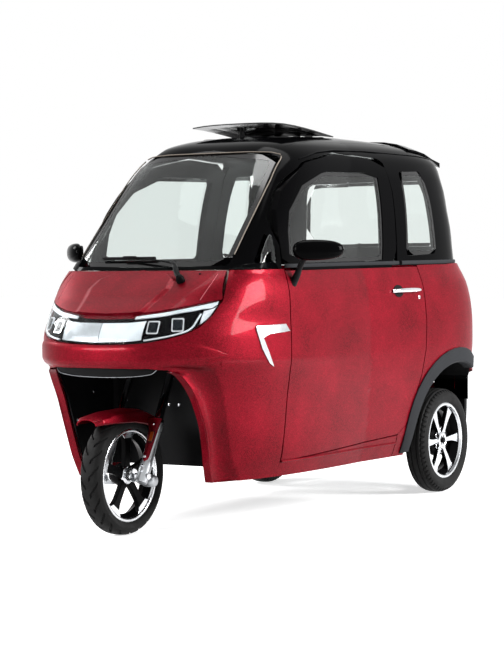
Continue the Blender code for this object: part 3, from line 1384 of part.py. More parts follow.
def build():
    clear_scene()
    red = make_material("deep_red_paint", (0.36, 0.012, 0.022), 0.25, 0.4)
    black = make_material("gloss_black", (0.012, 0.012, 0.013), 0.12)
    grey = make_material("dark_grey_plastic", (0.06, 0.06, 0.065), 0.6)
    liner = make_material("black_plastic", (0.02, 0.02, 0.022), 0.7)
    glass = make_material("clear_glass", (0.7, 0.75, 0.76), 0.05, 0, 0.3)
    lamp = make_material("lamp_glass", (0.75, 0.77, 0.8), 0.1)
    chrome = make_material("chrome", (0.8, 0.8, 0.82), 0.08, 1)
    alloy = make_material("alloy", (0.62, 0.63, 0.65), 0.3, 1)
    steel = make_material("painted_steel", (0.03, 0.03, 0.032), 0.5)
    rubber = make_material("tyre_rubber", (0.018, 0.018, 0.019), 0.85)
    trim = make_material("light_trim", (0.5, 0.49, 0.47), 0.7)
    seat = make_material("seat_leather", (0.09, 0.08, 0.08), 0.6)
    red_lens = make_material("red_lens", (0.5, 0.02, 0.02), 0.15)

    chassis(steel)
    floor_tub(steel)
    rear_axle(steel)
    front_panel(red)
    bonnet(red)
    lamp_unit(lamp)
    front_liner(liner)
    rear_body(red)
    boot_lid(red)
    rear_bumper(liner)
    roof_panel(black)
    base_rail("cowl_rail", black, rear=False)
    base_rail("rear_rail", black, rear=True)
    spoiler(black)
    sunroof_glass(glass)
    pane("windshield", UPPER, WINDSHIELD_OUTLINE, FORWARDS, glass, count=32)
    pane("rear_glass", UPPER, REAR_WINDOW_OUTLINE, REARWARDS, glass, count=20)
    for hand in (1, -1):
        side = SIDES[hand]
        side_frame(hand, black)
        door_panel(hand, red)
        door_frame(hand, black)
        door_glass(hand, glass)
        door_handle(hand, chrome)
        mirror(hand, black)
        pane("vent_glass_" + side, UPPER, VENT_OUTLINE, (hand, 0, 0), glass, rings=(0, 1))
        pane("quarter_glass_" + side, UPPER, QUARTER_OUTLINE, (hand, 0, 0), glass, count=18)
        sill(hand, red)
        arch_moulding(hand, grey)
        tail_lamp(hand, red_lens)
        tyre("rear_tyre_" + side, TYRE_RADIUS, REAR_TYRE_WIDTH, REAR_RIM_RADIUS,
             hand * REAR_WHEEL_X, REAR_AXLE_Y, rubber)
        rim("rear_rim_" + side, REAR_RIM_RADIUS, 0.044, 6, hand * 0.024, hand * REAR_WHEEL_X,
            REAR_AXLE_Y, alloy, 0.042, 0.013)
    tyre("front_tyre", TYRE_RADIUS, FRONT_TYRE_WIDTH, FRONT_RIM_RADIUS, 0, FRONT_AXLE_Y, rubber)
    rim("front_rim", FRONT_RIM_RADIUS, 0.036, 5, 0, 0, FRONT_AXLE_Y, alloy, 0.055, AXLE_PIN_RADIUS)
    fork_upper(chrome)
    fork_lowers(alloy)
    front_mudguard(red)
    handlebar(liner)
    dashboard(trim)
    wiper(liner)
    floor_top = RAIL_LOW + RAIL_HEIGHT + FLOOR_THICKNESS + 2 * SEAT_GAP
    rear_top = RAIL_REAR_LOW + RAIL_HEIGHT + FLOOR_THICKNESS + 2 * SEAT_GAP
    block("battery_box", (-0.19, 0.00, floor_top), (0.19, 0.34, 0.50), steel)
    driver = cushion("driver_seat", (-0.20, -0.05, 0.50 + SEAT_GAP), (0.20, 0.37, 0.60), seat)
    fuse(driver, cushion("driver_back", (-0.20, 0.33, 0.56), (0.20, 0.42, 0.96), seat))
    rear = cushion("rear_seat", (-0.33, 0.585, rear_top), (0.33, 0.93, rear_top + 0.12), seat)
    fuse(rear, cushion("rear_back", (-0.33, 0.865, rear_top + 0.08), (0.33, 0.945, 0.95), seat))
    assemble()


build()
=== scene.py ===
import logging
import math
from dataclasses import dataclass, field
from enum import Enum
from typing import Any, Callable, Mapping, Sequence

import bmesh
import bpy
import numpy as np
from mathutils import Matrix, Vector


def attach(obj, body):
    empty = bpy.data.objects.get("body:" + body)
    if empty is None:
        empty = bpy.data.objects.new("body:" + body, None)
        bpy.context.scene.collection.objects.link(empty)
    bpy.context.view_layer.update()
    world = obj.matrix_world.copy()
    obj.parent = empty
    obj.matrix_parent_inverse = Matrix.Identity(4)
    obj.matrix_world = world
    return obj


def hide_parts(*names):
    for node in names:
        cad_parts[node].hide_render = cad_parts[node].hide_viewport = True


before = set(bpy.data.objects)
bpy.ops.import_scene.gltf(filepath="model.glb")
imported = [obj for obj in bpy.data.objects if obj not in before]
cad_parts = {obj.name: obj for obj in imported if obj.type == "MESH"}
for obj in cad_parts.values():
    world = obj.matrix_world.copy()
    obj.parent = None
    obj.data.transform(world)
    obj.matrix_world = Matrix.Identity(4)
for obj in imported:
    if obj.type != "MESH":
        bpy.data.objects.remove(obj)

LOG = logging.getLogger("microcar")
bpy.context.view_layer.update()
NODES: Mapping[str, bpy.types.Object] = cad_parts
Array = np.ndarray

# The solids stand this far behind the drawing's own Y
DRAWING_SHIFT = 0.038
BELT_HEIGHT = 1.02
ROOF_HEIGHT = 1.583
SILL_BOTTOM = 0.20


class Side(Enum):
    """The vehicle's left and right, by the sign of X."""

    LEFT = 1
    RIGHT = -1

    @property
    def tag(self) -> str:
        """Ending of the piece names on this side."""
        return self.name.lower()


# Numbers and meshes

def linear(code: str) -> tuple[float, float, float, float]:
    """Turn an sRGB hex colour into linear light.

    Args:
        code: Six hex digits, with or without a leading hash.

    Returns:
        Red, green, blue and an alpha of one.
    """
    digits = code.lstrip("#")
    parts = [int(digits[i:i + 2], 16) / 255 for i in (0, 2, 4)]
    light = [p / 12.92 if p <= 0.04045 else ((p + 0.055) / 1.055) ** 2.4 for p in parts]
    return (light[0], light[1], light[2], 1.0)


def smooth(at: Array, places: Sequence[float], values: Sequence[float]) -> Array:
    """Monotone cubic curve through a table: slopes are the harmonic mean of their neighbours'.

    Args:
        at: Where the curve is read.
        places: Rising places of the table.
        values: Value at each place.

    Returns:
        The curve's values at the places asked for.
    """
    place, value = np.asarray(places, float), np.asarray(values, float)
    at = np.clip(at, place[0], place[-1])
    step = np.diff(place)
    rise = np.diff(value) / step
    same = rise[:-1] * rise[1:] > 0
    inner = np.where(same, 2 * rise[:-1] * rise[1:] / np.where(same, rise[:-1] + rise[1:], 1), 0)
    slope = np.concatenate([rise[:1], inner, rise[-1:]])
    i = np.clip(np.searchsorted(place, at, side="right") - 1, 0, len(step) - 1)
    t = (at - place[i]) / step[i]
    return ((1 + 2 * t) * (1 - t) ** 2 * value[i] + t * (1 - t) ** 2 * step[i] * slope[i]
            + t * t * (3 - 2 * t) * value[i + 1] + t * t * (t - 1) * step[i] * slope[i + 1])


def rounded(corners: Sequence[tuple[float, float, float]], steps: int = 8) -> Array:
    """Closed outline with circular arcs at its corners.

    Each corner's arc touches both sides at radius over tan(half angle) from the corner.

    Args:
        corners: Corner's two coordinates and its radius.
        steps: Chords in each arc.

    Returns:
        Outline points, one row each.
    """
    table = np.array(corners, float)
    points, radii = table[:, :2], table[:, 2]
    before, after = np.roll(points, 1, 0) - points, np.roll(points, -1, 0) - points
    unit_a = before / np.linalg.norm(before, axis=1, keepdims=True)
    unit_b = after / np.linalg.norm(after, axis=1, keepdims=True)
    half = np.arccos(np.clip((unit_a * unit_b).sum(1), -1, 1)) / 2
    bisector = unit_a + unit_b
    bisector /= np.maximum(np.linalg.norm(bisector, axis=1, keepdims=True), 1e-9)
    centre = points + bisector * (radii / np.sin(half))[:, None]
    start = points + unit_a * (radii / np.tan(half))[:, None] - centre
    end = points + unit_b * (radii / np.tan(half))[:, None] - centre
    share = np.linspace(0, 1, steps + 1)[None, :, None]
    mixed = start[:, None] * (1 - share) + end[:, None] * share
    mixed *= radii[:, None, None] / np.maximum(np.linalg.norm(mixed, axis=2, keepdims=True), 1e-9)
    return (centre[:, None] + mixed).reshape(-1, 2)


def edge_distance(flat: Array, outline: Array) -> Array:
    """Distance of points from a closed outline: the least over its chords.

    Args:
        flat: Points, one row each.
        outline: Outline points, one row each.

    Returns:
        One distance for each point.
    """
    start, end = outline, np.roll(outline, -1, 0)
    run = end - start
    gap = flat[:, None] - start[None]
    share = np.clip((gap * run).sum(2) / np.maximum((run * run).sum(1), 1e-12), 0, 1)
    return np.linalg.norm(gap - share[..., None] * run[None], axis=2).min(1)


@dataclass(frozen=True)
class Skin:
    """Closed surface whose level sections are superellipses that widen to the rear.

    Each row holds a height, the nose's and the tail's Y, the half width and both powers.
    """

    rows: tuple[tuple[float, ...], ...]
    widest_y: float = 0.10 + DRAWING_SHIFT
    flare: float = 0.078
    full_half: float = 0.518

    def value(self, column: int, z: Array) -> Array:
        """Column of the table at these heights."""
        table = np.array(self.rows)
        return smooth(z, table[:, 0], table[:, column])

    def middle(self, z: Array) -> Array:
        """Y of the widest place, which drifts to the rear near the roof's crown."""
        return self.widest_y + 1.05 * np.maximum(0, z - (ROOF_HEIGHT - 0.18))

    def half_width(self, y: Array, z: Array) -> Array:
        """Half width before the ends round off."""
        half = self.value(3, z)
        return half * (1 + self.flare * np.clip(y - self.middle(z), 0, 1) / self.full_half)

    def level(self, points: Array) -> Array:
        """Sum of both shares raised to the section's power: one on the skin itself."""
        x, y, z = points[..., 0], points[..., 1], points[..., 2]
        middle = self.middle(z)
        ahead = y < middle
        reach = np.where(ahead, middle - self.value(1, z), self.value(2, z) - middle)
        power = np.where(ahead, self.value(4, z), self.value(5, z))
        return (np.abs(x / self.half_width(y, z)) ** power
                + np.abs((y - middle) / reach) ** power)

    def slope(self, points: Array) -> Array:
        """Gradient of the level by central differences of a tenth of a millimetre."""
        step = 1e-4
        moves = np.eye(3) * step
        return np.stack([(self.level(points + m) - self.level(points - m)) / (2 * step)
                         for m in moves], -1)

    def normal(self, points: Array) -> Array:
        """Outward unit normals."""
        slope = self.slope(points)
        return slope / np.maximum(np.linalg.norm(slope, axis=-1, keepdims=True), 1e-12)

    def distance(self, points: Array) -> tuple[Array, Array]:
        """First-order distance outside the skin, and the normal it is measured along."""
        slope = self.slope(points)
        size = np.maximum(np.linalg.norm(slope, axis=-1), 1e-9)
        return (self.level(points) - 1) / size, slope / size[..., None]

    def side(self, y: Array, z: Array, hand: int = 1) -> Array:
        """Point on the left or right flank at this Y and height."""
        y, z = np.broadcast_arrays(np.asarray(y, float), np.asarray(z, float))
        middle = self.middle(z)
        ahead = y < middle
        reach = np.where(ahead, middle - self.value(1, z), self.value(2, z) - middle)
        power = np.where(ahead, self.value(4, z), self.value(5, z))
        share = np.clip(np.abs(y - middle) / reach, 0, 1)
        x = (1 - share ** power) ** (1 / power) * self.half_width(y, z)
        return np.stack([hand * x, y, z], -1)

    def end(self, x: Array, z: Array, rear: bool = False) -> Array:
        """Point on the nose or the tail at this X and height, by repeated substitution."""
        x, z = np.broadcast_arrays(np.asarray(x, float), np.asarray(z, float))
        middle = self.middle(z)
        tip = self.value(2 if rear else 1, z)
        power = self.value(5 if rear else 4, z)
        y = np.array(np.broadcast_to(tip, x.shape), float)
        for _ in range(12):
            share = np.clip(np.abs(x) / self.half_width(y, z), 0, 1)
            y = middle + (tip - middle) * (1 - share ** power) ** (1 / power)
        return np.stack([x, y, z], -1)

    def roof_z(self, x: Array, y: Array) -> Array:
        """Height of the skin above this X and Y, by bisection."""
        x, y = np.broadcast_arrays(np.asarray(x, float), np.asarray(y, float))
        low = np.full(x.shape, self.rows[0][0])
        high = np.full(x.shape, self.rows[-1][0])
        for _ in range(36):
            z = (low + high) / 2
            inside = self.level(np.stack([x, y, z], -1)) < 1
            low, high = np.where(inside, z, low), np.where(inside, high, z)
        return (low + high) / 2


def skin_rows(low: float, high: float, rows: Sequence[tuple[float, ...]]) -> Skin:
    """Skin from shares of the height and insets from the overall length and width."""
    nose, tail, half = -1.125 + DRAWING_SHIFT, 1.125 + DRAWING_SHIFT, 0.518
    return Skin(tuple((low + share * (high - low), nose + front, tail - back, half - side, *powers)
                      for share, front, back, side, *powers in rows))


LOWER = skin_rows(SILL_BOTTOM, BELT_HEIGHT, [
    (0.000, 0.145, 0.045, 0.063, 2.8, 10.0), (0.122, 0.115, 0.025, 0.033, 2.8, 10.0),
    (0.366, 0.050, 0.012, 0.013, 2.8, 8.5), (0.512, 0.020, 0.005, 0.003, 3.0, 7.0),
    (0.579, 0.005, 0.003, 0.000, 3.2, 7.0), (0.671, 0.005, 0.003, 0.000, 3.2, 7.0),
    (0.756, 0.035, 0.005, 0.003, 3.3, 7.0), (0.878, 0.175, 0.025, 0.013, 4.4, 7.0),
    (1.000, 0.325, 0.050, 0.043, 7.0, 6.5)])
UPPER = skin_rows(BELT_HEIGHT, ROOF_HEIGHT, [
    (0.000, 0.340, 0.040, 0.052, 8.0, 6.0), (0.178, 0.435, 0.045, 0.058, 7.5, 6.0),
    (0.409, 0.560, 0.060, 0.071, 6.8, 6.0), (0.675, 0.700, 0.070, 0.100, 5.8, 6.0),
    (0.799, 0.770, 0.065, 0.126, 5.2, 5.5), (0.888, 0.830, 0.105, 0.168, 4.6, 4.6),
    (0.950, 0.935, 0.225, 0.238, 3.8, 3.8), (0.986, 1.105, 0.505, 0.328, 2.8, 2.8),
    (1.000, 1.225, 0.795, 0.498, 2.2, 2.2)])


def signed_power(value: Array, by: float) -> Array:
    """Power of each number's size, with its sign kept."""
    return np.sign(value) * np.abs(value) ** by

def spun(run: Array) -> Array:
    """Unit vectors of rows."""
    return run / np.maximum(np.linalg.norm(run, axis=-1, keepdims=True), 1e-12)


def grid_faces(rows: int, cols: int, wrap_rows: bool, wrap_cols: bool) -> Array:
    """Quads of a grid whose points are numbered row by row.

    Args:
        rows: Number of rows.
        cols: Number of columns.
        wrap_rows: Join the last row to the first.
        wrap_cols: Join the last column to the first.

    Returns:
        Four indices for each quad.
    """
    r = np.arange(rows if wrap_rows else rows - 1)[:, None]
    c = np.arange(cols if wrap_cols else cols - 1)[None, :]
    r2, c2 = (r + 1) % rows, (c + 1) % cols
    return np.stack([r * cols + c, r * cols + c2, r2 * cols + c2, r2 * cols + c], -1).reshape(-1, 4)


class Shape:
    """Mesh of one piece, gathered from lofts, turned forms and slabs."""

    def __init__(self) -> None:
        """Start with nothing gathered."""
        self.points: list[Array] = []
        self.faces: list[list[int]] = []
        self.coats: list[int] = []
        self.count = 0

    def add(self, points: Array, faces: Any, coat: int | Array = 0) -> "Shape":
        """Take in points and faces, each face with the number of its finish."""
        points = np.asarray(points, float).reshape(-1, 3)
        self.faces += [[i + self.count for i in face] for face in np.asarray(faces).tolist()]
        self.coats += np.broadcast_to(np.asarray(coat, int), (len(faces),)).tolist()
        self.points.append(points)
        self.count += len(points)
        return self

    def loft(self, rings: Array, coat: int = 0, closed: bool = False) -> "Shape":
        """Skin over closed rings in order; the ends get one face each unless they join."""
        rings = np.asarray(rings, float)
        rows, cols = rings.shape[:2]
        start = self.count
        self.add(rings, grid_faces(rows, cols, closed, True), coat)
        if not closed:
            ends = [list(range(start, start + cols))[::-1],
                    list(range(start + (rows - 1) * cols, start + rows * cols))]
            self.faces += ends
            self.coats += [coat, coat]
        return self

    def tube(self, path: Array, radii: Array | float, coat: int = 0, sides: int = 12,
             flat: float = 1.0, closed: bool = False) -> "Shape":
        """Round bar: circles in the planes square to a path, carried along it without twist."""
        path = np.asarray(path, float)
        radii = np.broadcast_to(np.asarray(radii, float), len(path))
        if closed:
            run = spun(np.roll(path, -1, 0) - np.roll(path, 1, 0))
        else:
            run = spun(np.gradient(path, axis=0))
        level = np.abs(run).sum(0)
        guide = np.eye(3)[int(np.argmin(level))]
        across = spun(np.cross(run, guide))
        upward = np.cross(across, run)
        angle = np.linspace(0, 2 * np.pi, sides, endpoint=False)
        ring = (across[:, None] * np.cos(angle)[None, :, None]
                + flat * upward[:, None] * np.sin(angle)[None, :, None])
        return self.loft(path[:, None] + ring * radii[:, None, None], coat, closed)

    def lathe(self, profile: Any, centre: Sequence[float] = (0, 0, 0),
              axis: Sequence[float] = (1, 0, 0), coat: int | Array = 0, segments: int = 64,
              closed: bool = True) -> "Shape":
        """Turned form: profile of (place along the axis, radius) carried round it."""
        profile = np.asarray(profile, float)
        along = spun(np.asarray(axis, float))
        guide = np.eye(3)[int(np.argmin(np.abs(along)))]
        first = spun(np.cross(along, guide))
        second = np.cross(along, first)
        angle = np.linspace(0, 2 * np.pi, segments, endpoint=False)[None, :, None]
        ring = first * np.cos(angle) + second * np.sin(angle)
        points = (np.asarray(centre, float) + profile[:, 0, None, None] * along
                  + profile[:, 1, None, None] * ring)
        rows = len(profile) if closed else len(profile) - 1
        coats = np.repeat(np.broadcast_to(np.asarray(coat, int), (rows,)), segments)
        return self.add(points, grid_faces(len(profile), segments, closed, True), coats)

    def slab(self, outer: Array, inner: Array, coat: int = 0) -> "Shape":
        """Closed solid between two matching grids, with a rim round all four sides."""
        rows, cols = outer.shape[:2]
        index = np.arange(rows * cols).reshape(rows, cols)
        rim = np.concatenate([index[0, :-1], index[:-1, -1], index[-1, :0:-1], index[:0:-1, 0]])
        quads = grid_faces(rows, cols, False, False)
        back, ahead = rows * cols, np.roll(rim, -1)
        sides = np.stack([rim, ahead, ahead + back, rim + back], 1)
        both = np.concatenate([outer.reshape(-1, 3), inner.reshape(-1, 3)])
        return self.add(both, np.concatenate([quads, quads[:, ::-1] + back, sides]), coat)

    def plate(self, outline: Array, depth: Sequence[float], coat: int = 0) -> "Shape":
        """Flat outline in space given a thickness along a vector."""
        outline = np.asarray(outline, float)
        return self.loft(np.stack([outline, outline + np.asarray(depth, float)]), coat)

    def moved(self, change: Any) -> "Shape":
        """All points so far put through a function."""
        self.points = [change(np.concatenate(self.points))]
        return self

    def item(self, name: str, materials: Sequence[bpy.types.Material],
             sharp_degrees: float = 35.0) -> bpy.types.Object:
        """Linked object at the origin: doubles merged, normals outward, smooth but for edges."""
        mesh = bpy.data.meshes.new(name)
        mesh.from_pydata(np.concatenate(self.points).tolist(), [], self.faces)
        mesh.polygons.foreach_set("material_index", np.array(self.coats, np.int32))
        work = bmesh.new()
        work.from_mesh(mesh)
        bmesh.ops.remove_doubles(work, verts=work.verts, dist=2e-6)
        bmesh.ops.dissolve_degenerate(work, edges=work.edges, dist=1e-7)
        bmesh.ops.recalc_face_normals(work, faces=work.faces)
        work.to_mesh(mesh)
        work.free()
        mesh.shade_smooth()
        mesh.set_sharp_from_angle(angle=math.radians(sharp_degrees))
        for material in materials:
            mesh.materials.append(material)
        item = bpy.data.objects.new(name, mesh)
        bpy.context.scene.collection.objects.link(item)
        return item

    def build(self, name: str, finishes: "Finish | Sequence[Finish]", body: str, slot: str,
              replaces: Sequence[str] = (), sharp_degrees: float = 35.0,
              bevel_mm: float = 0.0) -> bpy.types.Object:
        """Make the object, put it under its body's empty and hide the solids it stands for.

        Args:
            name: Piece name.
            finishes: One finish, or one for each coat number.
            body: Body that carries it.
            slot: Material slot of the part; not used.
            replaces: Solids that it stands for.
            sharp_degrees: Edges sharper than this stay sharp.
            bevel_mm: Width of the rounding on sharp edges, 0 for none.

        Returns:
            The linked object at the origin.
        """
        coats = [finishes] if isinstance(finishes, Finish) else finishes
        item = self.item(name, [coat.material() for coat in coats], sharp_degrees)
        if bevel_mm:
            bevel = item.modifiers.new("edge", "BEVEL")
            bevel.width, bevel.segments, bevel.limit_method = bevel_mm / 1000, 2, "ANGLE"
            bevel.angle_limit = math.radians(40)
            bevel.harden_normals = False
        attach(item, body)
        if replaces:
            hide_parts(*replaces)
        LOG.info("%s: %d faces", name, len(item.data.polygons))
        return item

# Finishes

def add_node(tree: bpy.types.NodeTree, kind: str, settings: Mapping[Any, Any] | None = None,
             links: Mapping[Any, Any] | None = None) -> bpy.types.Node:
    """Add a node, set its properties and socket values, and link its inputs.

    Args:
        tree: Tree that gets the node.
        kind: Blender's node type.
        settings: Property name, socket name or socket number to value.
        links: Socket name or number to the output that feeds it.

    Returns:
        The new node.
    """
    node = tree.nodes.new(kind)
    for key, value in (settings or {}).items():
        if isinstance(key, int) or key in node.inputs:
            node.inputs[key].default_value = value
        else:
            setattr(node, key, value)
    for key, source in (links or {}).items():
        tree.links.new(source, node.inputs[key])
    return node


@dataclass(frozen=True)
class Finish:
    """A surface as it was made. Each kind of finish adds the nodes of its own pattern."""

    name: str
    colour: str
    roughness: float = 0.5

    def material(self) -> bpy.types.Material:
        """The material, made once for each name."""
        made = bpy.data.materials.get(self.name)
        if made:
            return made
        made = bpy.data.materials.new(self.name)
        made.use_nodes = True
        tree = made.node_tree
        tree.nodes.clear()
        place = add_node(tree, "ShaderNodeTexCoord").outputs["Object"]
        shader = self.shader(tree, place)
        add_node(tree, "ShaderNodeOutputMaterial", links={"Surface": shader})
        made.diffuse_color = linear(self.colour)
        return made

    def shader(self, tree: bpy.types.NodeTree, place: Any) -> Any:
        """Output socket of the finish's shader."""
        raise NotImplementedError

    def noise(self, tree: bpy.types.NodeTree, place: Any, size_mm: float,
              detail: float = 3.0) -> Any:
        """Noise whose features are about this many millimetres across."""
        return add_node(tree, "ShaderNodeTexNoise", {"Scale": 1000 / size_mm, "Detail": detail},
                        {"Vector": place}).outputs["Fac"]

    def spread(self, tree: bpy.types.NodeTree, source: Any, low: float, high: float,
               from_low: float = 0.3, from_high: float = 0.7) -> Any:
        """Value carried from one range to another and held at its ends."""
        return add_node(tree, "ShaderNodeMapRange",
                        {"From Min": from_low, "From Max": from_high, "To Min": low,
                         "To Max": high},
                        {"Value": source}).outputs["Result"]

    def tint(self, tree: bpy.types.NodeTree, factor: Any, first: str, second: str) -> Any:
        """Mix of two colours by a factor socket."""
        return add_node(tree, "ShaderNodeMix", {"data_type": "RGBA", 6: linear(first),
                                                7: linear(second)}, {0: factor}).outputs[2]

    def bump(self, tree: bpy.types.NodeTree, height: Any, depth_mm: float,
             strength: float = 1.0) -> Any:
        """Normal from a height pattern of this depth."""
        return add_node(tree, "ShaderNodeBump", {"Distance": depth_mm / 1000, "Strength": strength},
                        {"Height": height}).outputs["Normal"]


@dataclass(frozen=True)
class MetallicPaint(Finish):
    """Sprayed basecoat with aluminium flake under clear lacquer: deep colour, sharp coat shine."""

    flake: str = "#c8323a"
    metallic: float = 0.45

    def shader(self, tree: bpy.types.NodeTree, place: Any) -> Any:
        """Flakes drawn at 2 mm, since real 50 micron ones are finer than the picture shows."""
        cells = add_node(tree, "ShaderNodeTexVoronoi", {"Scale": 500.0}, {"Vector": place})
        flake = add_node(tree, "ShaderNodeSeparateColor", links={"Color": cells.outputs["Color"]})
        share = self.spread(tree, flake.outputs["Red"], 0.0, 0.55, 0.45, 1.0)
        cloud = self.spread(tree, self.noise(tree, place, 160), 0.0, 0.25)
        both = add_node(tree, "ShaderNodeMath", {"operation": "ADD"}, {0: share, 1: cloud})
        colour = self.tint(tree, both.outputs[0], self.colour, self.flake)
        peel = self.bump(tree, self.noise(tree, place, 9, 1.0), 0.02, 0.35)
        return add_node(tree, "ShaderNodeBsdfPrincipled",
                        {"Metallic": self.metallic, "Roughness": self.roughness,
                         "Specular IOR Level": 0.03, "Coat Weight": 0.08,
                         "Coat Roughness": 0.04},
                        {"Base Color": colour, "Coat Normal": peel}).outputs["BSDF"]


@dataclass(frozen=True)
class Lacquer(Finish):
    """Gloss solid paint or polished plastic: even colour and a mirror coat with slight peel."""

    def shader(self, tree: bpy.types.NodeTree, place: Any) -> Any:
        """Orange peel about 8 mm across, 20 microns deep."""
        cloud = self.noise(tree, place, 120)
        rough = self.spread(tree, cloud, self.roughness * 0.8, self.roughness * 1.3)
        peel = self.bump(tree, self.noise(tree, place, 8, 1.0), 0.02, 0.3)
        return add_node(tree, "ShaderNodeBsdfPrincipled",
                        {"Base Color": linear(self.colour), "Specular IOR Level": 0.02},
                        {"Roughness": rough, "Normal": peel}).outputs["BSDF"]


@dataclass(frozen=True)
class MouldedPlastic(Finish):
    """Injection-moulded ABS or polypropylene with a spark-eroded grain."""

    grain_mm: float = 2.0
    depth_mm: float = 0.12

    def shader(self, tree: bpy.types.NodeTree, place: Any) -> Any:
        """Grain cells drawn a little coarser than the real 0.5 mm, so that they show."""
        cells = add_node(tree, "ShaderNodeTexVoronoi", {"Scale": 1000 / self.grain_mm},
                         {"Vector": place})
        cloud = self.noise(tree, place, 70)
        tone = self.spread(tree, cloud, 0.0, 0.35)
        lighter = "#%02x%02x%02x" % tuple(min(255, round(int(self.colour.lstrip("#")[i:i + 2], 16)
                                                         * 1.25 + 3)) for i in (0, 2, 4))
        colour = self.tint(tree, tone, self.colour, lighter)
        rough = self.spread(tree, cloud, max(0.02, self.roughness - 0.06), self.roughness + 0.06)
        grain = self.bump(tree, cells.outputs["Distance"], self.depth_mm, 0.6)
        return add_node(tree, "ShaderNodeBsdfPrincipled", {"Specular IOR Level": 0.05},
                        {"Base Color": colour, "Roughness": rough,
                         "Normal": grain}).outputs["BSDF"]


@dataclass(frozen=True)
class Metal(Finish):
    """Bare, plated or cast metal: a mirror whose roughness the process leaves."""

    grain_mm: float = 1.5
    depth_mm: float = 0.01

    def shader(self, tree: bpy.types.NodeTree, place: Any) -> Any:
        """Grain that casting, plating or turning leaves, and clouds in its polish."""
        cloud = self.noise(tree, place, 45)
        rough = self.spread(tree, cloud, self.roughness * 0.8, self.roughness * 1.25)
        grain = self.noise(tree, place, self.grain_mm, 4.0)
        normal = self.bump(tree, grain, self.depth_mm, 0.5)
        dull = "#%02x%02x%02x" % tuple(round(int(self.colour.lstrip("#")[i:i + 2], 16) * 0.88)
                                       for i in (0, 2, 4))
        colour = self.tint(tree, self.spread(tree, cloud, 0.0, 1.0), self.colour, dull)
        return add_node(tree, "ShaderNodeBsdfPrincipled", {"Metallic": 1.0},
                        {"Base Color": colour, "Roughness": rough,
                         "Normal": normal}).outputs["BSDF"]


@dataclass(frozen=True)
class Rubber(Finish):
    """Carbon-black tyre rubber: dull, with mould fineness and pale dust in its low places."""

    def shader(self, tree: bpy.types.NodeTree, place: Any) -> Any:
        """Dust clouds of 30 mm and a mould texture of 1.2 mm."""
        cloud = self.noise(tree, place, 30, 5.0)
        colour = self.tint(tree, self.spread(tree, cloud, 0.0, 0.6), self.colour, "#1b1a1a")
        rough = self.spread(tree, cloud, self.roughness - 0.1, self.roughness + 0.1)
        normal = self.bump(tree, self.noise(tree, place, 1.2), 0.1, 0.5)
        return add_node(tree, "ShaderNodeBsdfPrincipled", {"Specular IOR Level": 0.15},
                        {"Base Color": colour, "Roughness": rough,
                         "Normal": normal}).outputs["BSDF"]


@dataclass(frozen=True)
class Leather(Finish):
    """Embossed vinyl seat cover: pebbled, with a soft sheen on the crowns."""

    def shader(self, tree: bpy.types.NodeTree, place: Any) -> Any:
        """Pebbles of 4 mm, drawn at twice the real size so that they show."""
        cells = add_node(tree, "ShaderNodeTexVoronoi", {"Scale": 250.0,
                                                        "feature": "SMOOTH_F1"},
                         {"Vector": place})
        cloud = self.noise(tree, place, 60)
        colour = self.tint(tree, self.spread(tree, cloud, 0.0, 0.5), self.colour, "#4a4644")
        rough = self.spread(tree, cloud, self.roughness - 0.08, self.roughness + 0.1)
        normal = self.bump(tree, cells.outputs["Distance"], 0.3, 0.7)
        return add_node(tree, "ShaderNodeBsdfPrincipled", {"Sheen Weight": 0.15},
                        {"Base Color": colour, "Roughness": rough,
                         "Normal": normal}).outputs["BSDF"]


@dataclass(frozen=True)
class Glass(Finish):
    """Float or laminated glass, clear to the lamps, with a ceramic frit where it meets metal.

    The frit is printed where the piece's own "edge" attribute is under a width.
    """

    frit_mm: float = 0.0
    ior: float = 1.3

    def shader(self, tree: bpy.types.NodeTree, place: Any) -> Any:
        """Clear glass, let through by shadow rays, mixed with black frit along the edge."""
        haze = self.spread(tree, self.noise(tree, place, 220), 0.0, self.roughness)
        glass = add_node(tree, "ShaderNodeBsdfPrincipled",
                         {"Base Color": linear(self.colour), "Transmission Weight": 1.0,
                          "IOR": self.ior}, {"Roughness": haze})
        clear = add_node(tree, "ShaderNodeBsdfTransparent", {"Color": linear(self.colour)})
        path = add_node(tree, "ShaderNodeLightPath")
        body = add_node(tree, "ShaderNodeMixShader", links={
            "Fac": path.outputs["Is Shadow Ray"], 1: glass.outputs["BSDF"],
            2: clear.outputs["BSDF"]}).outputs[0]
        if not self.frit_mm:
            return body
        edge = add_node(tree, "ShaderNodeAttribute", {"attribute_name": "edge"}).outputs["Fac"]
        solid = add_node(tree, "ShaderNodeMath", {"operation": "LESS_THAN",
                                                  1: self.frit_mm / 1000}, {0: edge}).outputs[0]
        frit = add_node(tree, "ShaderNodeBsdfPrincipled",
                        {"Base Color": linear("#060607"), "Roughness": 0.12})
        return add_node(tree, "ShaderNodeMixShader",
                        links={"Fac": solid, 1: body, 2: frit.outputs["BSDF"]}).outputs[0]


@dataclass(frozen=True)
class Lens(Finish):
    """Coloured acrylic lamp lens with moulded optic ribs."""

    rib_mm: float = 4.0

    def shader(self, tree: bpy.types.NodeTree, place: Any) -> Any:
        """Upright ribs, half a millimetre deep."""
        wave = add_node(tree, "ShaderNodeTexWave", {"Scale": 160 / self.rib_mm,
                                                    "bands_direction": "Z"},
                        {"Vector": place}).outputs["Fac"]
        normal = self.bump(tree, wave, 0.5, 0.8)
        colour = self.tint(tree, self.noise(tree, place, 40), self.colour, "#5c0a0c")
        return add_node(tree, "ShaderNodeBsdfPrincipled",
                        {"Roughness": self.roughness, "Coat Weight": 1.0, "Coat Roughness": 0.03},
                        {"Base Color": colour, "Normal": normal}).outputs["BSDF"]


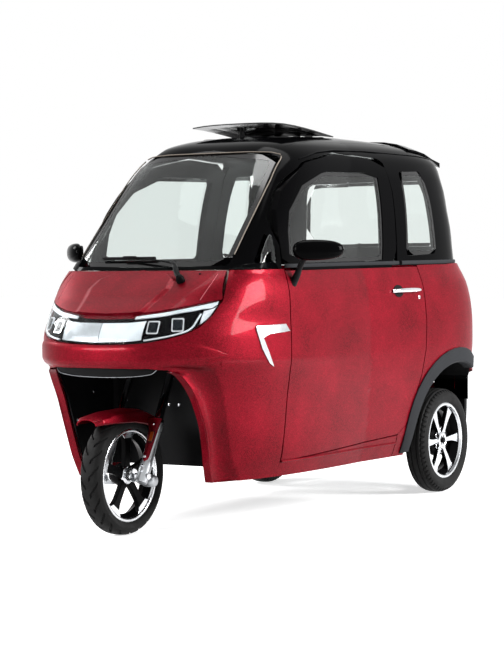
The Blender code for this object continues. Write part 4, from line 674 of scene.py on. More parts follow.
RED_PAINT = MetallicPaint("red_metallic_paint", "#56030d", 0.38, "#a81129", 0.40)
BLACK_GLOSS = Lacquer("black_gloss_paint", "#050506", 0.09)
GREY_PLASTIC = MouldedPlastic("grey_grained_plastic", "#2c2d2f", 0.62)
BLACK_PLASTIC = MouldedPlastic("black_moulded_plastic", "#141415", 0.48, 2.4)
LIGHT_TRIM = MouldedPlastic("warm_grey_trim", "#b5b0a9", 0.55, 2.4)
CLEAR_GLASS = Glass("clear_safety_glass", "#f1f6f4", 0.01)
FRAMED_GLASS = Glass("safety_glass_with_frit", "#f1f6f4", 0.01, 16.0)
SCREEN_GLASS = Glass("laminated_screen_glass", "#eef4f2", 0.01, 20.0)
ROOF_GLASS = Glass("tinted_roof_glass", "#5a6263", 0.02, 14.0)
CHROME = Metal("chrome_plate", "#e8eaee", 0.06)
CAST_ALLOY = Metal("cast_aluminium", "#b4b7ba", 0.36, 1.2, 0.08)
MACHINED_ALLOY = Metal("diamond_cut_alloy", "#e3e5e8", 0.20, 3.0, 0.01)
SATIN_BLACK = Lacquer("satin_black_powder_coat", "#101011", 0.38)
TYRE_RUBBER = Rubber("vulcanised_tyre_rubber", "#0e0e0e", 0.70)
SEAT_VINYL = Leather("embossed_seat_vinyl", "#2a2625", 0.45)
RED_LENS = Lens("red_lamp_lens", "#a8080c", 0.15)
ORANGE_LENS = Lens("orange_reflector", "#f06a12", 0.18, 2.0)
WHEEL_BLACK = Lacquer("black_wheel_enamel", "#0c0c0d", 0.22)
TYRE_LINE = Rubber("yellow_tyre_marking_line", "#7d7733", 0.7)
SEAL_RUBBER = Rubber("window_seal_rubber", "#111112", 0.6)
ACRYLIC = Glass("clear_acrylic_cover", "#fbfdfd", 0.0, ior=1.12)
DARK_LENS = Lacquer("projector_lens_glass", "#14171a", 0.03)
HOUSING_BLACK = Lacquer("lamp_housing_black", "#040405", 0.35)
WHITE_GUIDE = MouldedPlastic("white_light_guide", "#9da1a5", 0.28, 5.0, 0.02)
SATIN_SILVER = Metal("satin_silver_panel", "#8d9094", 0.38, 2.0, 0.01)
SATIN_CHROME = Metal("satin_chrome_plate", "#dfe1e4", 0.16)
MIRROR_GLASS = Metal("silvered_mirror_glass", "#eef1f2", 0.02)
BRONZE_TRIM = Lacquer("taupe_trim_paint", "#8d8379", 0.30)
# Pale pink for the lines along the bonnet's joints: a painted highlight of the panel edges
PAINTED_EDGE_HIGHLIGHT = Lacquer("paint_edge_highlight", "#c86a74", 0.30)


# Panels copied from the solids

@dataclass(frozen=True)
class Panel:
    """A fine copy of one solid, whose shine follows the drawn skin and not its flat faces.

    New points halve each edge and are carried to the mean of its ends' distances from the skin.
    """

    node: str
    finish: Finish
    slot: str
    body: str
    skin: Skin | None = None
    passes: int = 2
    outline: tuple[tuple[float, float, float], ...] = ()
    outline_axis: int = 0
    relief: Callable[[Array], Array] | None = None

    def source(self) -> tuple[Array, Array]:
        """Merged points and triangles of the solid."""
        mesh = NODES[self.node].data
        mesh.calc_loop_triangles()
        points = np.zeros(len(mesh.vertices) * 3, np.float32)
        faces = np.zeros(len(mesh.loop_triangles) * 3, np.int32)
        mesh.vertices.foreach_get("co", points)
        mesh.loop_triangles.foreach_get("vertices", faces)
        points = points.reshape(-1, 3).astype(float)
        _, first, index = np.unique(np.round(points / 2e-5).astype(np.int64), axis=0,
                                    return_index=True, return_inverse=True)
        faces = index.reshape(-1)[faces].reshape(-1, 3)
        whole = ((faces[:, 0] != faces[:, 1]) & (faces[:, 1] != faces[:, 2])
                 & (faces[:, 0] != faces[:, 2]))
        return points[first], faces[whole]

    def halved(self, points: Array, faces: Array) -> tuple[Array, Array]:
        """Each triangle made four, its new points set on the skin's own curve."""
        ends = np.sort(np.concatenate([faces[:, [0, 1]], faces[:, [1, 2]], faces[:, [2, 0]]]), 1)
        edges, index = np.unique(ends, axis=0, return_inverse=True)
        middle = points[edges].mean(1)
        if self.skin:
            off, _ = self.skin.distance(points)
            goal = off[edges].mean(1)
            for _ in range(2):
                now, normal = self.skin.distance(middle)
                move = np.clip(goal - now, -0.012, 0.012)
                middle = middle + normal * np.where(np.abs(goal) < 0.06, move, 0)[:, None]
        index = index.reshape(3, -1) + len(points)
        a, b, c = faces.T
        ab, bc, ca = index
        faces = np.concatenate([np.stack(t, 1) for t in ((a, ab, ca), (ab, b, bc), (ca, bc, c),
                                                         (ab, bc, ca))])
        return np.concatenate([points, middle]), faces

    def build(self) -> bpy.types.Object:
        """Make the copy, give it its normals, finish and body, and hide the solid."""
        points, faces = self.source()
        for _ in range(self.passes):
            points, faces = self.halved(points, faces)
        lift = np.zeros_like(points)
        if self.relief and self.skin:
            # The relief's gradient along the skin tips the normal the other way
            step, off = 5e-4, self.skin.distance(points)
            outer = (np.abs(off[0]) < 0.002)[:, None]
            slope = np.stack([(self.relief(points + m) - self.relief(points - m)) / (2 * step)
                              for m in np.eye(3) * step], -1)
            slope -= (slope * off[1]).sum(1, keepdims=True) * off[1]
            lift = np.where(outer, off[1] * self.relief(points)[:, None], 0)
            tip = np.where(outer, slope, 0)
        else:
            tip = lift
        mesh = bpy.data.meshes.new(self.node + "_panel")
        mesh.vertices.add(len(points))
        mesh.vertices.foreach_set("co", (points + lift).astype(np.float32).ravel())
        mesh.loops.add(faces.size)
        mesh.loops.foreach_set("vertex_index", faces.astype(np.int32).ravel())
        mesh.polygons.add(len(faces))
        mesh.polygons.foreach_set("loop_start", np.arange(0, faces.size, 3, dtype=np.int32))
        mesh.update(calc_edges=True)
        mesh.shade_smooth()
        if self.skin:
            corner = points[faces]
            flat = np.cross(corner[:, 1] - corner[:, 0], corner[:, 2] - corner[:, 0])
            flat /= np.maximum(np.linalg.norm(flat, axis=1, keepdims=True), 1e-15)
            normal = spun(self.skin.normal(points) - tip)[faces]
            along = (normal * flat[:, None]).sum(2)
            follows = (np.abs(along) > 0.75)[..., None]
            normal = np.where(follows, normal * np.sign(along)[..., None], flat[:, None])
            mesh.normals_split_custom_set(normal.reshape(-1, 3).tolist())
        else:
            mesh.set_sharp_from_angle(angle=math.radians(32))
        if self.outline:
            flat_points = points[:, [self.outline_axis, 2]]
            edge = edge_distance(flat_points, rounded(self.outline))
            mesh.attributes.new("edge", "FLOAT", "POINT").data.foreach_set(
                "value", edge.astype(np.float32))
        mesh.materials.append(self.finish.material())
        item = bpy.data.objects.new(self.node + "_panel", mesh)
        bpy.context.scene.collection.objects.link(item)
        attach(item, self.body)
        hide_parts(self.node)
        return item


def shifted(*corners: tuple[float, float, float]) -> tuple[tuple[float, float, float], ...]:
    """Outline corners carried from the drawing's Y to the part's."""
    return tuple((y + DRAWING_SHIFT, z, radius) for y, z, radius in corners)

DOOR_GLASS_OUTLINE = shifted((-0.458, 1.042, 0.012), (0.288, 1.042, 0.02), (0.322, 1.34, 0.10),
                             (0.330, 1.415, 0.02), (-0.10, 1.412, 0.10), (-0.285, 1.355, 0.06),
                             (-0.440, 1.225, 0.06))
VENT_OUTLINE = shifted((-0.650, 1.045, 0.01), (-0.545, 1.045, 0.01), (-0.545, 1.170, 0.01))
QUARTER_OUTLINE = shifted((0.478, 1.060, 0.02), (0.742, 1.068, 0.03), (0.738, 1.30, 0.10),
                          (0.712, 1.432, 0.02), (0.520, 1.426, 0.02))
SCREEN_OUTLINE = ((-0.362, 1.036, 0.02), (0, 1.033, 0.10), (0.362, 1.036, 0.02),
                  (0.352, 1.30, 0.20), (0.325, 1.475, 0.035), (0, 1.508, 0.15),
                  (-0.325, 1.475, 0.035), (-0.352, 1.30, 0.20))
REAR_OUTLINE = ((-0.36, 1.10, 0.04), (0.36, 1.10, 0.04), (0.33, 1.40, 0.05), (-0.33, 1.40, 0.05))


def tongue(points: Array) -> Array:
    """Raised middle of the bonnet: 9 mm up inside an edge that widens, then closes at the top."""
    x, z = np.abs(points[:, 0]), points[:, 2]
    wide = np.interp(z, (0.84, 0.90, 0.95, 0.985, 1.005, 1.016),
                     (0.145, 0.165, 0.185, 0.175, 0.130, 0.0))
    share = np.clip((wide - x) / 0.030 + 0.5, 0, 1)
    return 0.009 * share * share * (3 - 2 * share)


def leg_facet(points: Array) -> Array:
    """Flattened face of each leg: a parabola's depth between the opening's edge and the crease."""
    x, z = np.abs(points[:, 0]), points[:, 2]
    edge = np.interp(z, (0.20, 0.331, 0.434, 0.509, 0.561, 0.624, 0.648, 0.655),
                     (0.318, 0.3345, 0.3405, 0.3365, 0.331, 0.3137, 0.278, 0.240))
    crease = np.interp(z, (0.20, 0.367, 0.564, 0.640, 0.70), (0.370, 0.3807, 0.3930, 0.3960, 0.392))
    share = np.clip((x - edge) / np.maximum(crease - edge, 0.01), 0, 1)
    fade = np.clip((0.668 - z) / 0.03, 0, 1) * (points[:, 1] < -0.4)
    return -4 * share * (1 - share) * 0.020 * fade


@dataclass
class BodyPanels:
    """Painted shell, greenhouse and glass, copied from the solids on their own skins."""

    def panels(self) -> list[Panel]:
        """Every panel with its finish, slot, body and skin."""
        made = [
            Panel("front_panel", RED_PAINT, "red_paint", "body", LOWER, 3, relief=leg_facet),
            Panel("bonnet", RED_PAINT, "red_paint", "body", LOWER, 4, relief=tongue),
            Panel("rear_body", RED_PAINT, "red_paint", "body", LOWER),
            Panel("boot_lid", RED_PAINT, "red_paint", "boot", LOWER),
            Panel("roof_panel", BLACK_GLOSS, "gloss_black", "body", UPPER),
            Panel("cowl_rail", BLACK_GLOSS, "gloss_black", "body", UPPER),
            Panel("rear_rail", BLACK_GLOSS, "gloss_black", "body", UPPER),
            Panel("rear_bumper", BLACK_PLASTIC, "black_plastic", "body", LOWER, 1),
            Panel("windshield", SCREEN_GLASS, "clear_glass", "body", UPPER, 2, SCREEN_OUTLINE),
            Panel("rear_glass", FRAMED_GLASS, "clear_glass", "body", UPPER, 2, REAR_OUTLINE),
        ]
        for side in Side:
            tag = side.tag
            door = "door_" + tag
            made += [
                Panel("sill_" + tag, RED_PAINT, "red_paint", "body", LOWER),
                Panel("side_frame_" + tag, BLACK_GLOSS, "gloss_black", "body", UPPER),
                Panel("quarter_glass_" + tag, FRAMED_GLASS, "clear_glass", "body", UPPER, 2,
                      QUARTER_OUTLINE, 1),
                Panel("vent_glass_" + tag, CLEAR_GLASS, "clear_glass", "body", UPPER, 2,
                      VENT_OUTLINE, 1),
                Panel("door_panel_" + tag, RED_PAINT, "red_paint", door, LOWER, 3),
                Panel("door_frame_" + tag, BLACK_GLOSS, "gloss_black", door, UPPER),
                Panel("door_glass_" + tag, FRAMED_GLASS, "clear_glass", door, UPPER, 2,
                      DOOR_GLASS_OUTLINE, 1),
                Panel("arch_moulding_" + tag, GREY_PLASTIC, "grey_plastic", "body", None, 0),
                Panel("tail_lamp_" + tag, RED_LENS, "red_lens", "body", LOWER, 1),
            ]
        return made

    def build(self) -> None:
        """Build all panels."""
        for panel in self.panels():
            item = panel.build()
            LOG.info("%s: %d faces", item.name, len(item.data.polygons))


@dataclass
class CarriedNodes:
    """Solids that stay as they are and get their real finish."""

    finishes: dict[str, Finish] = field(default_factory=lambda: {
        "spoiler": BLACK_GLOSS, "front_liner": BLACK_PLASTIC, "handlebar": BLACK_PLASTIC,
        "sunroof_glass": ROOF_GLASS, "fork_upper": SATIN_BLACK, "chassis_frame": SATIN_BLACK,
        "floor_pan": SATIN_BLACK, "rear_axle": SATIN_BLACK, "battery_box": SATIN_BLACK,
        "dashboard": LIGHT_TRIM})

    def build(self) -> None:
        """Put each finish on its solid."""
        for name, finish in self.finishes.items():
            data = NODES[name].data
            data.materials.clear()
            data.materials.append(finish.material())


# Wheels

class Tread(Enum):
    """Groove patterns."""

    SWEPT = "diagonal grooves that stop short of the middle"
    BLOCK = "three rings of grooves and short shoulder slots"


@dataclass(frozen=True)
class Tyre:
    """Rubber ring with a grooved tread, from bead to bead."""

    half: float
    bead: float
    radius: float
    tread: Tread
    groove: float = 0.0055
    columns: int = 480
    rows: int = 65

    def section(self) -> tuple[Array, Array]:
        """Section points (across, radius) by equal steps, and each one's share from -1 to 1."""
        half, bead, out = self.half, self.bead, self.radius
        knots = np.array([(0, out), (0.34 * half, out - 0.0006), (0.62 * half, out - 0.0035),
                          (0.82 * half, out - 0.0105), (0.94 * half, out - 0.022),
                          (half, (out + bead) / 2 + 0.002), (0.96 * half, bead + 0.012),
                          (0.84 * half, bead + 0.003), (0.74 * half, bead + 0.0005)])
        knots = np.concatenate([knots[:0:-1] * (-1, 1), knots])
        run = np.concatenate([[0], np.cumsum(np.linalg.norm(np.diff(knots, axis=0), axis=1))])
        at = np.linspace(0, run[-1], self.rows)
        across = np.interp(at, run, knots[:, 0])
        height = np.interp(at, run, knots[:, 1])
        for _ in range(2):
            across[1:-1] = (across[:-2] + 2 * across[1:-1] + across[2:]) / 4
            height[1:-1] = (height[:-2] + 2 * height[1:-1] + height[2:]) / 4
        return np.stack([across, height], 1), np.linspace(-1, 1, self.rows)

    def depth(self, share: Array, turn: Array) -> Array:
        """Groove depth from 0 to 1 at a share across the section and a turn round the wheel."""
        wide = np.abs(share)
        if self.tread is Tread.SWEPT:
            swept = turn * 22 + np.where(share < 0, 0.5, 0) + 2.4 * wide ** 1.4
            slot = np.abs(swept - np.round(swept)) < 0.105
            return (slot & (wide > 0.07) & (wide < 0.47)).astype(float)
        rings = (np.abs(wide - 0.13) < 0.02) | (np.abs(wide - 0.30) < 0.02)
        cross = turn * 60 + np.where(share < 0, 0.5, 0) + wide
        slots = (np.abs(cross - np.round(cross)) < 0.16) & (wide > 0.33) & (wide < 0.50)
        return np.clip(rings + slots, 0, 1).astype(float)

    def build(self, name: str, centre: Sequence[float], body: str, node: str) -> None:
        """Grid of section points carried round the axle, lowered in the grooves."""
        section, share = self.section()
        turn = np.linspace(0, 1, self.columns, endpoint=False)
        drop = self.groove * self.depth(share[:, None], turn[None])
        radius = section[:, 1:] - drop
        angle = 2 * np.pi * turn[None]
        outer = np.stack([np.broadcast_to(section[:, :1], radius.shape), radius * np.cos(angle),
                          radius * np.sin(angle)], -1)
        stripe = (np.abs(share[:-1] - 0.52) < 0.010) & (self.tread is Tread.SWEPT)
        coats = np.concatenate([np.repeat(stripe.astype(int), self.columns),
                                np.zeros(self.columns, int)])
        faces = grid_faces(self.rows, self.columns, True, True)
        Shape().add(outer + np.asarray(centre), faces, coats).build(
            name, (TYRE_RUBBER, TYRE_LINE), body, "tyre_rubber", (node,), 30)


@dataclass(frozen=True)
class Wheel:
    """Cast wheel with its tyre, about an axle along X. hand is the side that its face is on."""

    name: str
    body: str
    centre: tuple[float, float, float]
    hand: int
    tyre: Tyre
    rim_radius: float
    rim_half: float
    spokes: int
    first: float
    face: float
    stations: tuple[tuple[float, float, float], ...]
    bright: float
    drum_radius: float

    def place(self, across: Array, radial: Array, tangential: Array, angle: float) -> Array:
        """Points from distance along the axle, from it, and sideways, at a turn of the wheel."""
        c, s = math.cos(angle), math.sin(angle)
        return np.stack([self.centre[0] + self.hand * across,
                         self.centre[1] + radial * c - tangential * s,
                         self.centre[2] + radial * s + tangential * c], -1)

    def spoke(self, shape: Shape, angle: float, rise: float, start: float, coat: int) -> None:
        """Loft of eight-sided sections, chamfered at the face, along the radius."""
        table = np.array(self.stations)
        table = table[table[:, 0] >= start - 1e-9]
        at = np.linspace(table[0, 0], table[-1, 0], 15)
        wide = smooth(at, table[:, 0], table[:, 1]) - (0.0012 if rise else 0)
        bend = smooth(at, table[:, 0], table[:, 2])
        face = self.face + rise - 0.006 * (1 - at / self.rim_radius)
        back = face - (0.0016 if rise else 0.018)
        cut = np.minimum(0.003, wide / 3) if not rise else np.full_like(wide, 0.0006)
        corners = [(-wide, back), (-wide, face - cut), (cut - wide, face), (wide - cut, face),
                   (wide, face - cut), (wide, back)]
        rings = np.stack([self.place(x, at, bend + side, angle) for side, x in corners], 1)
        shape.loft(rings, coat)

    def barrel(self) -> None:
        """Dropped barrel, black inside, with a bright lip on the side that shows."""
        h, r = self.rim_half, self.rim_radius
        profile = [(-h, r + 0.005), (0.004 - h, r + 0.005), (0.007 - h, r - 0.004),
                   (-0.5 * h, r - 0.010), (0, r - 0.020), (0.5 * h, r - 0.010),
                   (h - 0.007, r - 0.004), (h - 0.004, r + 0.005), (h, r + 0.0055),
                   (h + 0.0014, r + 0.003), (h + 0.0014, r - 0.003), (h, r - 0.006),
                   (h - 0.010, r - 0.009), (0.5 * h, r - 0.015), (0, r - 0.025),
                   (-0.5 * h, r - 0.015), (-h, r - 0.006)]
        coats = np.array([0] * 7 + [1] * 5 + [0] * 5)
        Shape().lathe(profile, self.centre, (self.hand, 0, 0), coats, 96).build(
            self.name + "_barrel", (WHEEL_BLACK, MACHINED_ALLOY), self.body, "alloy",
            (self.name.replace("wheel", "rim"),), 30)

    def build(self) -> None:
        """Tyre, barrel, spokes, hub and the bright cut faces."""
        self.tyre.build(self.name + "_tyre_tread", self.centre, self.body,
                        self.name.replace("wheel", "tyre"))
        self.barrel()
        body, cut = Shape(), Shape()
        for k in range(self.spokes):
            angle = self.first + 2 * math.pi * k / self.spokes
            self.spoke(body, angle, 0.0, 0.0, 0)
            self.spoke(cut, angle, 0.0013, self.bright, 0)
        body.build(self.name + "_spokes", WHEEL_BLACK, self.body, "alloy", (), 30)
        cut.build(self.name + "_cut_faces", MACHINED_ALLOY, self.body, "alloy", (), 30)
        self.dress_hub()

    def around(self, radius: float, angle: float) -> Array:
        """Point of the wheel's middle plane at a radius and a turn about the axle."""
        return np.array(self.centre) + (0, radius * math.cos(angle), radius * math.sin(angle))

    def dress_hub(self) -> None:
        """Hub, brake drum, nuts and cap."""
        axis, f, wide = (self.hand, 0, 0), self.face, self.drum_radius
        drum = [(-self.rim_half, 0.0), (-self.rim_half, wide - 0.010),
                (0.3 * -self.rim_half, wide), (f - 0.022, wide), (f - 0.016, wide - 0.012),
                (f - 0.016, 0.0)]
        Shape().lathe(drum, self.centre, axis, 0, 64, False).build(
            self.name + "_drum", WHEEL_BLACK, self.body, "alloy", (), 30)
        hub = Shape()
        if self.spokes == 5:
            for side in (1, -1):
                hub.lathe([(0.012, 0.0), (0.012, 0.036), (0.020, 0.038), (0.026, 0.034),
                           (0.030, 0.024), (0.046, 0.021), (0.048, 0.026), (0.0535, 0.026),
                           (0.0535, 0.0)], self.centre, (side, 0, 0), 0, 40, False)
                for k in range(5):
                    hub.lathe([(0.018, 0), (0.018, 0.0052), (0.0262, 0.0052), (0.0275, 0.004),
                               (0.0275, 0)], self.around(0.029, math.pi * 2 * k / 5 + 0.5),
                              (side, 0, 0), 0, 6, False)
            hub.build(self.name + "_hub", MACHINED_ALLOY, self.body, "alloy", (), 30)
            return
        hub.lathe([(f - 0.012, 0.0), (f - 0.012, 0.040), (f + 0.001, 0.038), (f + 0.003, 0.031),
                   (f + 0.0015, 0.029), (f + 0.0015, 0.0)], self.centre, axis, 0, 48, False)
        for k in range(6):
            hub.lathe([(f, 0), (f, 0.0042), (f + 0.0022, 0.0042), (f + 0.0022, 0.0)],
                      self.around(0.019, math.pi * k / 3), axis, 1, 12, False)
        hub.lathe([(f, 0), (f, 0.010), (f + 0.005, 0.009), (f + 0.006, 0.0)], self.centre,
                  axis, 0, 24, False)
        nuts = Shape()
        for k in range(6):
            spot = self.around(0.047, self.first + math.pi * (2 * k + 1) / 6)
            nuts.lathe([(f - 0.030, 0), (f - 0.030, 0.012), (f - 0.006, 0.012), (f - 0.005, 0.010)],
                       spot, axis, 0, 24, False)
            nuts.lathe([(f - 0.006, 0.0), (f - 0.006, 0.0092), (f - 0.001, 0.0085),
                        (f - 0.001, 0.0)], spot, axis, 1, 6, False)
        hub.build(self.name + "_hub_cap", (MACHINED_ALLOY, WHEEL_BLACK), self.body, "alloy")
        nuts.build(self.name + "_nuts", (CHROME, SATIN_BLACK), self.body, "alloy")


FRONT_AXLE = (0.0, -0.928, 0.232)


def wheels() -> list[Wheel]:
    """The steered wheel and both driven ones."""
    made = [Wheel("front_wheel", "front_wheel", FRONT_AXLE, 1,
                  Tyre(0.048, 0.1795, 0.2318, Tread.SWEPT), 0.176, 0.036, 5, math.pi / 2, 0.030,
                  ((0.034, 0.020, 0), (0.070, 0.017, 0), (0.115, 0.018, 0), (0.145, 0.026, 0),
                   (0.160, 0.040, 0), (0.172, 0.062, 0)), 0.135, 0.045)]
    for side in Side:
        made.append(Wheel("rear_wheel_" + side.tag, "rear_wheel_" + side.tag,
                          (side.value * 0.4525, 0.857, 0.232), side.value,
                          Tyre(0.0525, 0.1665, 0.2318, Tread.BLOCK), 0.163, 0.042, 6, 0.0, 0.027,
                          ((0.020, 0.012, 0), (0.045, 0.010, 0), (0.090, 0.0125, 0.002),
                           (0.125, 0.0170, 0.001), (0.159, 0.0265, -0.001)), 0.020, 0.072))
    return made


@dataclass
class Wheels:
    """All three wheels."""

    def build(self) -> None:
        """Build each wheel."""
        for wheel in wheels():
            wheel.build()


# Fork

@dataclass
class Fork:
    """Telescopic fork: chrome stanchions, cast lower legs, shroud reflectors and fixings."""

    leg_x: float = 0.096
    offset: float = -0.036
    ahead: tuple[float, float, float] = (0.0, -0.883, 0.469)
    rake_cos: float = 0.882948
    rake_sin: float = 0.469472
    foot_y: float = -0.896214
    foot_z: float = 0.215099

    def tilt(self, points: Array) -> Array:
        """From the fork's own frame, whose Z runs up the steering axis, to the part's."""
        x, y, z = np.moveaxis(np.asarray(points, float), -1, 0)
        return np.stack([x, self.foot_y + self.rake_cos * y + self.rake_sin * z,
                         self.foot_z - self.rake_sin * y + self.rake_cos * z], -1)

    def along(self, heights: Sequence[float], hand: int) -> Array:
        """Points up one leg's axis."""
        z = np.asarray(heights, float)
        return np.stack([np.full_like(z, hand * self.leg_x), np.full_like(z, self.offset), z], -1)

    def build(self) -> None:
        """Legs, tubes, seals, axle clamps, nuts, reflectors and screws."""
        legs, seals, chrome = Shape(), Shape(), Shape()
        for hand in (1, -1):
            heights = [-0.030, -0.028, -0.020, 0.045, 0.055, 0.062, 0.190, 0.196, 0.220, 0.2248]
            radii = [0.018, 0.0225, 0.0248, 0.0248, 0.0232, 0.0218, 0.0218, 0.0248, 0.0248, 0.0205]
            legs.tube(self.tilt(self.along(heights, hand)), radii, 0, 28)
            legs.lathe([(-0.0245, 0), (-0.0245, 0.021), (-0.018, 0.024), (0.018, 0.024),
                        (0.0265, 0.020), (0.0285, 0.014), (0.0285, 0)],
                       self.tilt(np.array([hand * self.leg_x, 0, 0])) + (0, 0.012, -0.006),
                       (hand, 0, 0), 0, 28, False)
            for height in (0.012, 0.034):
                bolt = self.tilt(np.array([hand * (self.leg_x + 0.006), self.offset - 0.0235,
                                           height]))
                chrome.lathe([(0, 0), (0, 0.0055), (0.006, 0.0055), (0.0075, 0.004), (0.0075, 0)],
                             bolt, self.ahead, 0, 6, False)
            seals.tube(self.tilt(self.along([0.2252, 0.2254, 0.236, 0.240], hand)),
                       [0.0205, 0.0225, 0.0215, 0.0165], 0, 28)
            chrome.tube(self.tilt(self.along([0.2405, 0.352, 0.470], hand)), 0.0175, 0, 28)
        legs.build("fork_legs_cast", CAST_ALLOY, "steering", "alloy", ("fork_lowers",), 40)
        seals.build("fork_dust_seals", BLACK_PLASTIC, "steering", "black_plastic")
        axle = Shape().lathe([(-0.1255, 0), (-0.1255, 0.0095), (-0.0600, 0.0095), (-0.0600, 0)],
                             FRONT_AXLE, (1, 0, 0), 0, 24, False)
        for hand in (1, -1):
            axle.lathe([(0.060, 0), (0.060, 0.0105), (0.116, 0.0105), (0.116, 0.0145),
                        (0.1235, 0.0145), (0.1250, 0.0125), (0.1250, 0)],
                       FRONT_AXLE, (hand, 0, 0), 0, 6 if hand > 0 else 24, False)
        axle.build("front_axle_and_nuts", MACHINED_ALLOY, "steering", "chrome")
        chrome.build("fork_stanchions_chrome", CHROME, "steering", "chrome")
        self.shroud_dress()
        self.mudguard()

    def shroud_dress(self) -> None:
        """Orange reflectors and screws on the shrouds' fronts."""
        frames, lenses, screws = Shape(), Shape(), Shape()
        for hand in (1, -1):
            rim = rounded([(0.098, 0.128, 0.003), (0.118, 0.128, 0.003), (0.118, 0.176, 0.003),
                           (0.098, 0.176, 0.003)], 4)
            for outline, lift, thick, shape in ((rim, 0.0665, 0.0020, frames),
                                                ((rim - (0.108, 0.152)) * 0.86 + (0.108, 0.152),
                                                 0.0682, 0.0022, lenses)):
                flat = np.stack([hand * outline[:, 0], np.full(len(outline), -lift),
                                 outline[:, 1]], -1)
                shape.plate(self.tilt(flat), np.array(self.ahead) * thick)
            for x, z in ((0.1005, 0.070), (0.100, 0.206)):
                spot = self.tilt(np.array([hand * x, -0.0655, z]))
                screws.lathe([(0, 0), (0, 0.0062), (0.0018, 0.0058), (0.0030, 0.0035), (0.0034, 0)],
                             spot, self.ahead, 0, 20, False)
        frames.build("shroud_reflector_frames", BLACK_PLASTIC, "steering", "black_plastic")
        lenses.build("shroud_reflectors", ORANGE_LENS, "steering", "red_lens", (), 30, 0.8)
        screws.build("shroud_screws", CHROME, "steering", "chrome")

    def mudguard(self) -> None:
        """Crowned guard with rolled skirts, and a tapering shroud down the front of each leg."""
        # Stations from the front: Y, height of the shoulder, half width and depth of the skirt
        stations = ((-1.158, -1.127, -1.042, -0.928, -0.852, -0.792, -0.752),
                    (0.453, 0.464, 0.474, 0.478, 0.471, 0.450, 0.426),
                    (0.046, 0.060, 0.066, 0.066, 0.066, 0.066, 0.060),
                    (0.010, 0.018, 0.028, 0.036, 0.042, 0.042, 0.034))
        y, shoulder, half, skirt = (np.interp(np.linspace(0, 6, 61), range(7), column)
                                    for column in stations)
        across = np.linspace(-1, 1, 21)[:, None]
        fold = np.array([1.0, 0.75, 0.45, 0.2])[:, None]
        top_x = across * (half - 0.004)[None]
        top_z = shoulder + 0.0005 + 0.0125 * (1 - np.abs(across) ** 2.2)
        left_x = -(half[None] - 0.004 * (1 - fold) ** 2)
        left_z = shoulder - fold * skirt
        x = np.concatenate([left_x, top_x, -left_x[::-1]])
        z = np.concatenate([left_z, top_z, left_z[::-1]])
        outer = np.stack([x, np.broadcast_to(y, x.shape), z], -1)
        shape = Shape().slab(outer, outer * (0.93, 1, 1) - (0, 0, 0.004))
        rows = np.linspace(0, 1, 29)
        for hand in (1, -1):
            lz = 0.232 - rows * 0.180
            inner = np.interp(rows, (0, 0.25, 0.9, 1), (0.060, 0.078, 0.088, 0.094))
            outside = np.interp(rows, (0, 0.25, 0.9, 1), (0.1250, 0.1215, 0.1140, 0.106))
            end = 1 - 0.75 * np.clip((rows - 0.93) / 0.07, 0, 1) ** 2
            middle, wide = (inner + outside) / 2, (outside - inner) / 2 * end
            a = np.linspace(-1, 1, 13)[:, None]
            xs = middle + a * wide
            ly = -0.0655 + 0.0085 * np.abs(a) ** 3.0 + 0 * xs
            grid = np.stack([hand * xs, ly, np.broadcast_to(lz, xs.shape)], -1)
            back = grid + (0, 0.003, 0)
            shape.slab(self.tilt(grid), self.tilt(back))
        shape.build("front_mudguard_shell", RED_PAINT, "steering", "red_paint",
                    ("front_mudguard",), 50)


# Front end

def curve(points: Array, steps: int = 6) -> Array:
    """Smooth line through points: a monotone cubic of each coordinate over chord length."""
    run = np.concatenate([[0], np.cumsum(np.linalg.norm(np.diff(points, axis=0), axis=1))])
    at = np.linspace(0, run[-1], steps * (len(points) - 1) + 1)
    return np.stack([smooth(at, run, points[:, k]) for k in range(3)], 1)


def nose_point(x: Any, z: Any, depth: Any) -> Array:
    """Point behind the nose skin by a depth along its normal."""
    on = LOWER.end(np.asarray(x, float), np.asarray(z, float))
    return on - LOWER.normal(on) * np.asarray(depth, float)[..., None]


def flank_point(y: Any, z: Any, proud: Any, hand: int, skin: Skin) -> Array:
    """Point outside a flank by a height along the skin's normal."""
    on = skin.side(np.asarray(y, float), np.asarray(z, float), hand)
    return on + skin.normal(on) * np.asarray(proud, float)[..., None]


